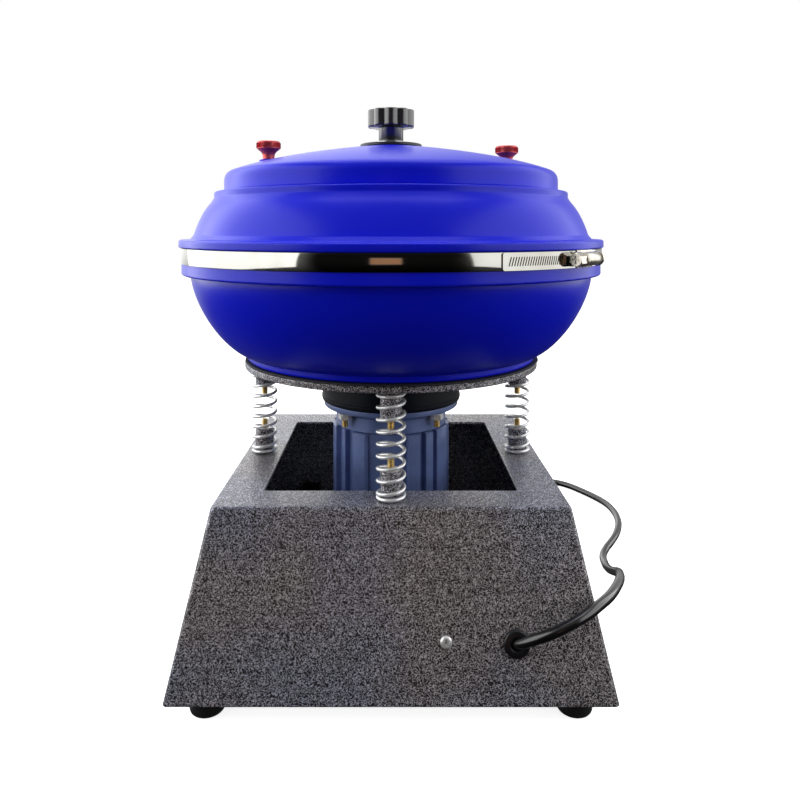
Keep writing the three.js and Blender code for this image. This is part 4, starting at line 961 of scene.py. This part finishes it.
spring_size = Extent("spring_front")
low_post, high_post = Extent("lower_post_front"), Extent("upper_post_front")
low_bolt, high_bolt = Extent("lower_bolt_front"), Extent("upper_bolt_front")
WIRE = 2.6
spring = COIL_SPRING.make(
    "coil_spring", wire=WIRE * MM, coil_radius=(11.5 - WIRE / 2) * MM, bottom=spring_size.bottom * MM,
    top=spring_size.top * MM, open_turns=8.0, closed_pitch=(WIRE + 0.3) * MM, steps_per_turn=28,
    first_angle=math.pi, finish=SPRING_ZINC, sharp=60.0,
)
stand = post("post", low_post.bottom, low_post.top)
hanger = post("post", high_post.bottom, high_post.top)
bolt_up = lower_bolt("bolt", low_bolt.bottom, low_bolt.top, low_post.top)
bolt_down = upper_bolt("bolt", high_bolt.bottom, high_bolt.top)
for side in SIDES:
    place = Extent(f"spring_{side}")
    x, y = place.x, place.y
    coiled = copied(spring, f"coil_spring_{side}", x, y)
    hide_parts(f"spring_{side}")
    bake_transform(coiled)
    for shape, name, body, slot, node in (
        (stand, "stand_post", "base", "hammertone_paint", "lower_post"),
        (bolt_up, "stand_bolt", "base", "yellow_zinc", "lower_bolt"),
        (hanger, "hanging_post", "deck", "hammertone_paint", "upper_post"),
        (bolt_down, "hanging_bolt", "deck", "yellow_zinc", "upper_bolt"),
    ):
        fitted(copied(shape, f"{name}_{side}", x, y), body, slot, f"{node}_{side}")
for shape in (spring, stand, hanger, bolt_up, bolt_down):
    discarded(shape)


# ---------------------------------------------------------------- deck and motor
def ripple(angle, *waves):
    """A closed irregular wave: (times round, size, phase) for each part of it."""
    return sum(size * math.sin(times * angle + phase) for times, size, phase in waves)


def gasket_sheet():
    """A hand-cut rubber disc that peeps out unevenly."""
    rings = []
    for inset, height in (
        (0.25, gasket.bottom), (0.0, gasket.bottom + 0.3), (0.0, gasket.top - 0.3), (0.25, gasket.top),
    ):
        ring = []
        for step in range(240):
            angle = TAU * step / 240
            uneven = ripple(angle, (3, 0.5, 0.4), (7, 0.35, 1.7), (17, 0.22, 0.2), (31, 0.16, 2.0))
            size = gasket.radius + 0.6 + uneven + 1.2 * max(0.0, math.cos(angle + 0.9)) ** 2 - inset
            ring.append((size * math.cos(angle), size * math.sin(angle), height))
        rings.append(ring)
    for height in (gasket.top, gasket.bottom):
        rings.append([(x, y, height) for x, y in circle(13, 240)])
    return loft("gasket_sheet", rings, RUBBER, closed=True)


def deck_disc():
    outline = [(BORE, deck.bottom), (deck.radius, deck.bottom, 0.7), (deck.radius, deck.top, 0.7),
               (BORE, deck.top)]
    return lathe("deck_disc", rounded(outline), HAMMERTONE, 192)


def weight_can():
    low, high, size = weight_housing.bottom, weight_housing.top, weight_housing.radius
    outline = [
        (GROOVE_RADIUS, low), (size - 0.6, low, 1.2), (size, low + 3.0, 0.4), (size, low + 4.2, 0.3),
        (size - 0.7, low + 4.8, 0.3), (size - 0.7, high - 4.4, 0.3), (size, high - 3.8, 0.3),
        (size, high, 0.8), (GROOVE_RADIUS, high),
    ]
    return lathe("weight_can", rounded(outline), HOUSING_BLACK, 128)


def motor_bells():
    """The cast end bells, with their bearing seats."""
    top = top_bell.top
    upper = rounded([
        (10, top), (61, top, 0.8), (61, top - 4.7, 1.2), (51.5, top - 4.7, 2.5), (50, top - 9.0, 1.0),
        (50, top_bell.bottom, 0.5), (46, top_bell.bottom), (46, top - 6), (21.5, top - 6),
        (21.5, top - 14.5), (17.8, top - 14.5), (17.8, top - 4), (10, top - 4),
    ])
    low = bottom_bell.bottom
    lower = rounded([
        (10, low), (44, low, 2.0), (50, low + 6, 2.0), (50, low + 16, 0.5), (46, low + 16), (46, low + 8),
        (42, low + 4), (21.5, low + 4), (21.5, low + 14.6), (17.8, low + 14.6), (17.8, low + 4),
        (10, low + 4),
    ])
    return lathe("motor_cap", upper, MOTOR_BLUE, 128), lathe("motor_foot", lower, MOTOR_BLUE, 128)


# Ribs from one angle to another, in degrees round from the front towards +X.
RIBS = (
    (-90, -68), (-54, -49), (-38.5, -25), (17, 28.5), (35, 44), (49.5, 71.5), (75, 90), (97, 106),
    (113, 122), (129, 141), (148, 157), (164, 173), (180, 192), (199, 208), (215, 224), (231, 240),
    (247, 262),
)


def motor_barrel():
    """An extruded housing with broad cooling ribs of uneven width."""
    ease = 0.9
    spots = []
    for start, end in RIBS:
        count = max(2, round((end - start) / 3))
        spots += [(start - ease, GROOVE_RADIUS), (start - 0.2, 52.4), (start + 0.3, motor.radius)]
        spots += [(start + (end - start) * k / count, motor.radius) for k in range(1, count)]
        spots += [(end - 0.3, motor.radius), (end + 0.2, 52.4), (end + ease, GROOVE_RADIUS)]
    between = []
    for (angle, size), (after, _) in zip(spots, spots[1:] + [(spots[0][0] + 360, 0)]):
        between.append((angle, size))
        gap = after - angle
        if gap > 5:
            count = round(gap / 4)
            between += [(angle + gap * k / count, GROOVE_RADIUS) for k in range(1, count)]
    rings = []
    for shrink, inner, height in (
        (0.8, False, motor.bottom), (0.0, False, motor.bottom + 0.8), (0.0, False, motor.top - 0.8),
        (0.8, False, motor.top), (0.0, True, motor.top), (0.0, True, motor.bottom),
    ):
        ring = []
        for degrees, size in between:
            angle, reach = math.radians(degrees - 90), (46.0 if inner else size - shrink)
            ring.append((reach * math.cos(angle), reach * math.sin(angle), height))
        rings.append(ring)
    return loft("motor_barrel", rings, MOTOR_BLUE, closed=True, sharp=28.0)


def motor_stud(name, low, high):
    """A yellow stud with a silver nut and washer under the motor's flange."""
    nut = six_sided("nut", 10.0, 187.0, 191.2, SPRING_ZINC, 2.6)
    washer = rounded([(3.1, 191.2), (5.9, 191.2), (5.9, 192.2), (3.1, 192.2)], 0.2)
    ring = lathe("washer", washer, SPRING_ZINC, 36)
    shank = threaded("shank", BOLT_RADIUS, 1.0, low, high, YELLOW_ZINC, 20)
    return joined(name, [shank, nut, ring])


fitted(deck_disc(), "deck", "hammertone_paint", "deck_plate")
fitted(gasket_sheet(), "deck", "black_rubber", "deck_gasket")
fitted(weight_can(), "deck", "black_paint", "weight_housing")
cap, foot_bell = motor_bells()
fitted(cap, "deck", "motor_paint", "motor_top_bell")
fitted(foot_bell, "deck", "motor_paint", "motor_bottom_bell")
fitted(motor_barrel(), "deck", "motor_paint", "motor_housing")
stud_size = Extent("motor_bolt_front_left")
stud = motor_stud("stud", stud_size.bottom, stud_size.top)
for corner in ("front_left", "front_right", "rear_left", "rear_right"):
    place = Extent(f"motor_bolt_{corner}")
    fitted(
        copied(stud, f"motor_stud_{corner}", place.x, place.y), "deck", "yellow_zinc", f"motor_bolt_{corner}",
    )
discarded(stud)


# ---------------------------------------------------------------- bowl and lid
def bend(start, control, end, steps=10):
    """Points on a simple curve from start to end, without start."""
    points = []
    for step in range(1, steps + 1):
        t = step / steps
        points.append(tuple(
            a * (1 - t) ** 2 + 2 * b * t * (1 - t) + c * t * t for a, b, c in zip(start, control, end)
        ))
    return points


def belly(radius, low, high, spread, steps=22):
    """The bowl's bulging side, from its foot to its flange."""
    points = []
    for step in range(steps + 1):
        angle = math.pi / 2 * step / steps
        points.append((
            radius + spread * math.sin(angle) ** (4 / 3), high - (high - low) * math.cos(angle) ** (4 / 3),
        ))
    return points


def bowl_lower():
    """The moulded lower bowl, with the column for the rod in its middle."""
    flange, low, top = bowl.radius, bowl.bottom, 328.5
    outline = [
        (11.3, low), (129, low, 1.5), *belly(129, 242, 311, 48.5), (177.5, 312.5, 1.5),
        (flange, 312.5, 1.5), (flange, top, 0.6), (171.5, top, 0.6),
        *belly(123, 247, 311, 48.5)[::-1], (40, 247, 6), (34, 251, 8), (14.5, bowl.top, 1.0),
        (BORE, bowl.top), (BORE, 242.6), (11.3, 242.6),
    ]
    return lathe("bowl_lower", rounded(outline), BLUE, 224, sharp=32.0)


def bowl_upper():
    """The upper bowl: a flange, a rolled lip, and a shoulder up to the mouth."""
    low, top = shoulder.bottom, shoulder.top
    lip = shoulder.radius
    outline = [
        (171.5, low, 0.6), (185, low, 0.6), (185, 335.6, 0.8), (lip, 335.6, 1.0), (lip, 342.1, 1.9),
        (178, 342.6, 1.5), (175, 346.1, 2.0), *bend((175, 346.1), (169, 365.1), (160.5, 374.1)),
        (158, 378.1, 2.0), (158, top, 1.3), (145, top, 0.8), (145, 378.1, 1.5), (152, 374.1, 4.0),
        (166, 354.1, 8.0), (171.5, 335.6, 3.0),
    ]
    return lathe("bowl_upper", rounded(outline), BLUE, 224, sharp=32.0)


def lid_shell():
    """The domed lid, with a boss for each thumb screw."""
    top = lid.top
    outline = [
        (139.7, lid.bottom, 0.8), (144.7, lid.bottom, 0.8), (144.7, 383.4, 0.4), (lid.radius, 383.4, 0.9),
        (lid.radius, 392.7), *bend((lid.radius, 392.7), (lid.radius, 399.7), (144, 401.7), 8),
        *bend((144, 401.7), (109.96, 414.4), (29, top), 14), (BORE, top), (BORE, top - 5),
        (29, top - 5), *bend((29, top - 5), (107, 409.0), (141, 397), 12), (139.7, 391, 3.0),
    ]
    parts = [lathe("lid_shell", rounded(outline), BLUE, 224, sharp=14.0)]
    for screw in ("thumb_screw_left", "thumb_screw_right"):
        place = Extent(screw)
        boss = rounded([(0, 403), (11, 403), (8.6, 411.4, 2.0), (8, 413.1, 0.8), (0, 413.1)])
        parts.append(lathe("boss", boss, BLUE, 48, (place.x, place.y)))
    return joined("lid_shell", parts)


def threaded_rod():
    collar = rounded([
        (0, rod.bottom), (5, rod.bottom), (5, 235.3), (rod.radius, 235.3, 0.8), (rod.radius, 242.3, 0.8),
        (4.9, 242.3), (4.4, 420), (0, 420),
    ])
    thread = threaded("thread", 5.0, 1.5, 412.0, rod.top, STEEL, 28)
    return joined("threaded_rod", [lathe("collar", collar, STEEL, 48), thread])


fitted(bowl_lower(), "deck", "blue_plastic", "lower_bowl")
fitted(bowl_upper(), "deck", "blue_plastic", "upper_bowl")
fitted(lid_shell(), "lid", "blue_plastic", "lid")
fitted(threaded_rod(), "deck", "bright_steel", "center_rod")


# ---------------------------------------------------------------- band clamp
band = Extent("clamp_band")
BAND_INNER, BAND_OUTER = 185.3, 186.1
BAND_MIDDLE = (band.bottom + band.top) / 2
WORM_ANGLE = 51.5
WORM_AXIS = 191.5
SLOT_PITCH = 2.3
TAIL_START, TAIL_END = 24.0, 60.0


def bent_round(thing, radius, start_angle):
    """Bends a flat strip along X round the bowl; -Y becomes outwards."""
    for vertex in thing.data.vertices:
        along, inward, height = vertex.co / MM
        angle = math.radians(start_angle - 90) + along / radius
        reach = radius - inward
        vertex.co = Vector((reach * math.cos(angle), reach * math.sin(angle), height)) * MM
    return shaded(thing, 30.0)


def slotted_tail():
    """The free end of the band, with its slanted slots for the worm."""
    length = math.radians(TAIL_END - TAIL_START) * BAND_OUTER
    outline = rounded_rectangle(length / 2, 6.3, 1.6, 3)
    strip = prism("tail", outline, -0.35, 0.35, MIRROR, 0.1)
    placed(strip, Matrix.Translation((length / 2, 0, 0)) @ Matrix.Rotation(math.radians(90), 4, "X"))
    cuts = 90
    slot = prism("slot", rounded_rectangle(3.4, 0.5, 0.45, 3), -2, 2, None)
    placed(slot, Matrix.Rotation(math.radians(90), 4, "X") @ Matrix.Rotation(math.radians(73), 4, "Z"))
    slots = ROW_OF.make("slots", slot, count=23, pitch=SLOT_PITCH * MM, finish=MIRROR)
    moved(slots, 6.0, 0, 0)
    cut(strip, slots, sharp=30.0)
    sliced(strip, [step * length / cuts for step in range(1, cuts)])
    bent_round(strip, BAND_OUTER + 0.75, TAIL_START)
    return moved(strip, z=BAND_MIDDLE)


def sliced(thing, places):
    """Cuts a strip's faces across, so that it can bend."""
    net = bmesh.new()
    net.from_mesh(thing.data)
    for place in places:
        bmesh.ops.bisect_plane(
            net, geom=net.verts[:] + net.edges[:] + net.faces[:], plane_co=(place * MM, 0, 0),
            plane_no=(1, 0, 0), dist=1e-7,
        )
    net.to_mesh(thing.data)
    net.free()


def at_worm():
    """Lays a part drawn along +Z down along the band, at the worm housing."""
    lying = Matrix.Rotation(math.radians(-90), 4, "Y")
    beside = Matrix.Translation((0, -WORM_AXIS, BAND_MIDDLE)) @ lying
    return Matrix.Rotation(math.radians(WORM_ANGLE), 4, "Z") @ beside


def worm_housing():
    """A pressed housing folded over the worm and spot-welded to the band."""
    arch = [(5.1 * math.cos(a), -5.1 * math.sin(a)) for a in (math.pi * k / 20 for k in range(21))]
    outline = [(6.6, 5.2), (6.6, 4.3), (5.3, 4.0), *arch, (-5.3, 4.0), (-6.6, 4.3), (-6.6, 5.2)]
    barrel = prism("worm_housing", rounded(outline, 0.25, 2), -14.0, 14.0, CLAMP_STEEL, 0.3)
    cut(barrel, drill(4.1, -16, 16), sharp=35.0)
    ends = []
    for low in (-14.0, 12.2):
        lip = [(4.3, low), (5.7, low), (5.7, low + 1.8), (4.3, low + 1.8)]
        ends.append(lathe("lip", rounded(lip, 0.4, 3), CLAMP_STEEL, 48))
    return placed(joined("worm_housing", [barrel, *ends]), at_worm())


def band_ring():
    section = [
        (BAND_INNER, band.bottom, 0.2), (BAND_OUTER, band.bottom, 0.3), (BAND_OUTER, band.top, 0.3),
        (BAND_INNER, band.top, 0.2),
    ]
    return lathe("band_ring", rounded(section, steps=3), MIRROR, 256)


def worm_screw():
    """The worm and its hex head, with a collar and a cross slot."""
    worm = threaded("worm", 3.8, SLOT_PITCH, -13.0, 14.6, STEEL, 28)
    head = six_sided("head", 9.4, 15.4, 25.8, CLAMP_STEEL, ease=0.3)
    cut(head, cross_recess(3.4, 0.9, 25.8, 1.4), sharp=25.0)
    collar = lathe("collar", rounded([(0, 14.3), (5.6, 14.3), (5.6, 15.7), (0, 15.7)], 0.35), CLAMP_STEEL, 48)
    return placed(joined("worm_screw", [head, collar, worm]), at_worm())


clamp = joined("clamp_ring", [band_ring(), slotted_tail(), worm_housing()])
fitted(clamp, "deck", "mirror_steel", "clamp_band")
fitted(worm_screw(), "clamp_screw", "mirror_steel", "clamp_screw")


# ---------------------------------------------------------------- knob and thumb screws
def star_outline(size, depth, height, sides=200):
    ring = []
    for step in range(sides):
        angle = TAU * step / sides
        reach = size - depth * (1 - abs(math.cos(5 * (angle + math.pi / 2))))
        ring.append((reach * math.cos(angle), reach * math.sin(angle), height))
    return ring


def star_grip():
    """The moulded ten-lobed knob on its hub, with the rod's blind hole."""
    size, depth, top = 21.85, 2.4, knob.top
    stages = [
        (BORE, 0, 453.4), (BORE, 0, knob.bottom), (11.0, 0, knob.bottom), (11.4, 0, knob.bottom + 0.5),
        (11.4, 0, 443.2), (11.8, 0, 444.0), (12.6, 0, 444.4), (size - 0.7, depth, 444.4),
        (size, depth, 445.0), (size, depth, 446.0), (size, depth, top - 1.8), (size, depth, top - 0.9),
        (size - 0.3, depth, top - 0.4),
        (size - 0.9, depth, top), (size - 1.6, depth * 0.9, top), (size - 5.0, 0, top),
        (size - 6.0, 0, top - 0.7), (4.0, 0, top - 0.8),
    ]
    rings = [star_outline(reach, lobes, height) for reach, lobes, height in stages]
    return loft("star_grip", rings, KNOB_BLACK, sharp=50.0)


def disc_and_washer():
    low, high, size = pressure.bottom, pressure.top, pressure.radius
    disc = rounded([(BORE, low, 0.3), (size, low, 0.7), (size, low + 3, 0.9), (BORE, low + 3, 0.3)], steps=5)
    washer = rounded([
        (BORE, low + 3, 0.3), (14.5, low + 3, 0.5), (14.5, high, 0.6), (BORE, high, 0.3),
    ], steps=5)
    return lathe("pressure_disc", disc, DISC_BLACK, 96), lathe("plated_washer", washer, BRIGHT_ZINC, 96)


def thumb_screw(name, low, high):
    """An anodised screw with a flared neck and a straight-knurled head."""
    seat = low + 14.0
    outline = [
        (0, seat - 1), (3.2, seat - 1), (3.2, seat), (5.25, seat, 0.4), (5.4, seat + 5.4, 5.5),
        (9.6, seat + 8.9, 0.5), (10.3, seat + 9.4, 0.5), (10.3, high - 0.9, 0.4), (9.6, high, 0.5),
        (4.2, high, 0.3), (3.6, high - 0.6, 0.3), (0, high - 0.6),
    ]
    body = lathe("body", rounded(outline, steps=6), RED, 72, sharp=30.0)
    ridge = prism("ridge", [(-0.6, -0.36), (0.62, 0.0), (-0.6, 0.36)], seat + 10.0, high - 1.5, RED, 0.0)
    knurl = RING_OF.make(
        "knurl", ridge, count=72, radius=10.2 * MM, first_angle=0.0, finish=RED, sharp=20.0,
    )
    shank = threaded("shank", 3.0, 1.0, low, seat, STEEL, 20)
    return joined(name, [body, knurl, shank])


fitted(star_grip(), "knob", "black_plastic", "star_knob")
pressure_disc, plated_washer = disc_and_washer()
fitted(pressure_disc, "knob_washer", "black_plastic", "knob_washer")
fitted(plated_washer, "knob_washer", "bright_steel")
screw_size = Extent("thumb_screw_left")
red_screw = thumb_screw("red_screw", screw_size.bottom, screw_size.top)
for side in ("left", "right"):
    place = Extent(f"thumb_screw_{side}")
    made = copied(red_screw, f"red_screw_{side}", place.x, place.y)
    fitted(made, f"thumb_screw_{side}", "red_anodised", f"thumb_screw_{side}")
discarded(red_screw)


# ---------------------------------------------------------------- finishes of the parts that stay as packed
PACKED_FINISHES = {
    "base_pan": HAMMERTONE, "capacitor": CAN_CREAM, "stator": LAMINATIONS, "upper_bearing": STEEL,
    "lower_bearing": STEEL, "rotor_shaft": STEEL, "upper_weight": IRON, "lower_weight": IRON,
}
for node, finish in PACKED_FINISHES.items():
    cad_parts[node].material_slots[0].material = finish


# ---------------------------------------------------------------- floor and lights
def floor():
    outline = [(-4000, -1500), (4000, -1500), (4000, 5000), (-4000, 5000)]
    sheet = piece("floor", [(x, y, -0.2) for x, y in outline], [(0, 1, 2, 3)], None)
    pale = Finish("pale_floor", Roughness=0.9, Emission_Color=rgb(1.0, 1.0, 1.0), Emission_Strength=0.85)
    cloud = pale.noise(1.5, 1.0)
    pale.set(Base_Color=pale.blend(cloud, rgb(0.92, 0.92, 0.92), rgb(0.94, 0.94, 0.94)))
    sheet.data.materials.append(pale.material)
    sheet.visible_glossy = False
    sheet.visible_diffuse = False


def softbox(name, place, aim, width, height, brightness):
    """A rectangular light of an even brightness, facing a point."""
    made = bpy.data.lights.new(name, "AREA")
    made.shape = "RECTANGLE"
    made.size, made.size_y = width, height
    made.energy = brightness * math.pi * width * height
    thing = bpy.data.objects.new(name, made)
    thing.location = place
    thing.rotation_euler = (Vector(aim) - Vector(place)).to_track_quat("-Z", "Y").to_euler()
    bpy.context.scene.collection.objects.link(thing)


def surroundings():
    """White where the camera looks; elsewhere a pale tent with a tan stand low in front.

    The tent is open and dark at the front and below."""
    world = bpy.data.worlds.new("surroundings")
    bpy.context.scene.world = world
    world.use_nodes = True
    room = Tree(world.node_tree)
    glow = world.node_tree.nodes["Background"]
    place = room.node("ShaderNodeTexCoord", output="Generated")
    side = room.node("ShaderNodeSeparateXYZ", {}, {0: place})
    depth, height = side.also(1), side.also(2)
    open_front = (0 - depth).ramp(0.62, 0.8) * (1 - height.ramp(0.35, 0.7))
    behind = depth.ramp(0.2, 0.6) * (1.2 - side.ramp(-0.15, 0.3) * 1.0)
    light = (0.3 + behind) * (1 - open_front * 0.97) * height.ramp(-0.35, 0.05, 0.04, 1.0)
    seen = room.node("ShaderNodeLightPath")
    stand = side.ramp(-0.185, -0.165) * (1 - side.ramp(0.08, 0.1)) * (1 - depth.ramp(-0.92, -0.85))
    stand = stand * (1 - abs(height).ramp(0.07, 0.11)) * (1 - seen)
    strength = seen + (light + stand * 0.65) * (1 - seen)
    shade = room.blend(stand, rgb(1.0, 1.0, 1.0), rgb(1.0, 0.5, 0.28))
    world.node_tree.links.new(shade.socket, glow.inputs["Color"])
    world.node_tree.links.new(strength.socket, glow.inputs["Strength"])


floor()
softbox("left_light", (-1.15, -0.16, 0.75), (0.0, -0.16, 0.6), 2.12, 1.4, 2.3)
softbox("right_light", (1.15, -0.3, 0.75), (0.0, -0.3, 0.6), 2.4, 1.4, 1.7)
softbox("top_light", (0.0, 0.1, 1.7), (0.0, 0.0, 0.3), 1.4, 1.2, 1.8)
surroundings()
bpy.context.scene.view_settings.view_transform = "Standard"
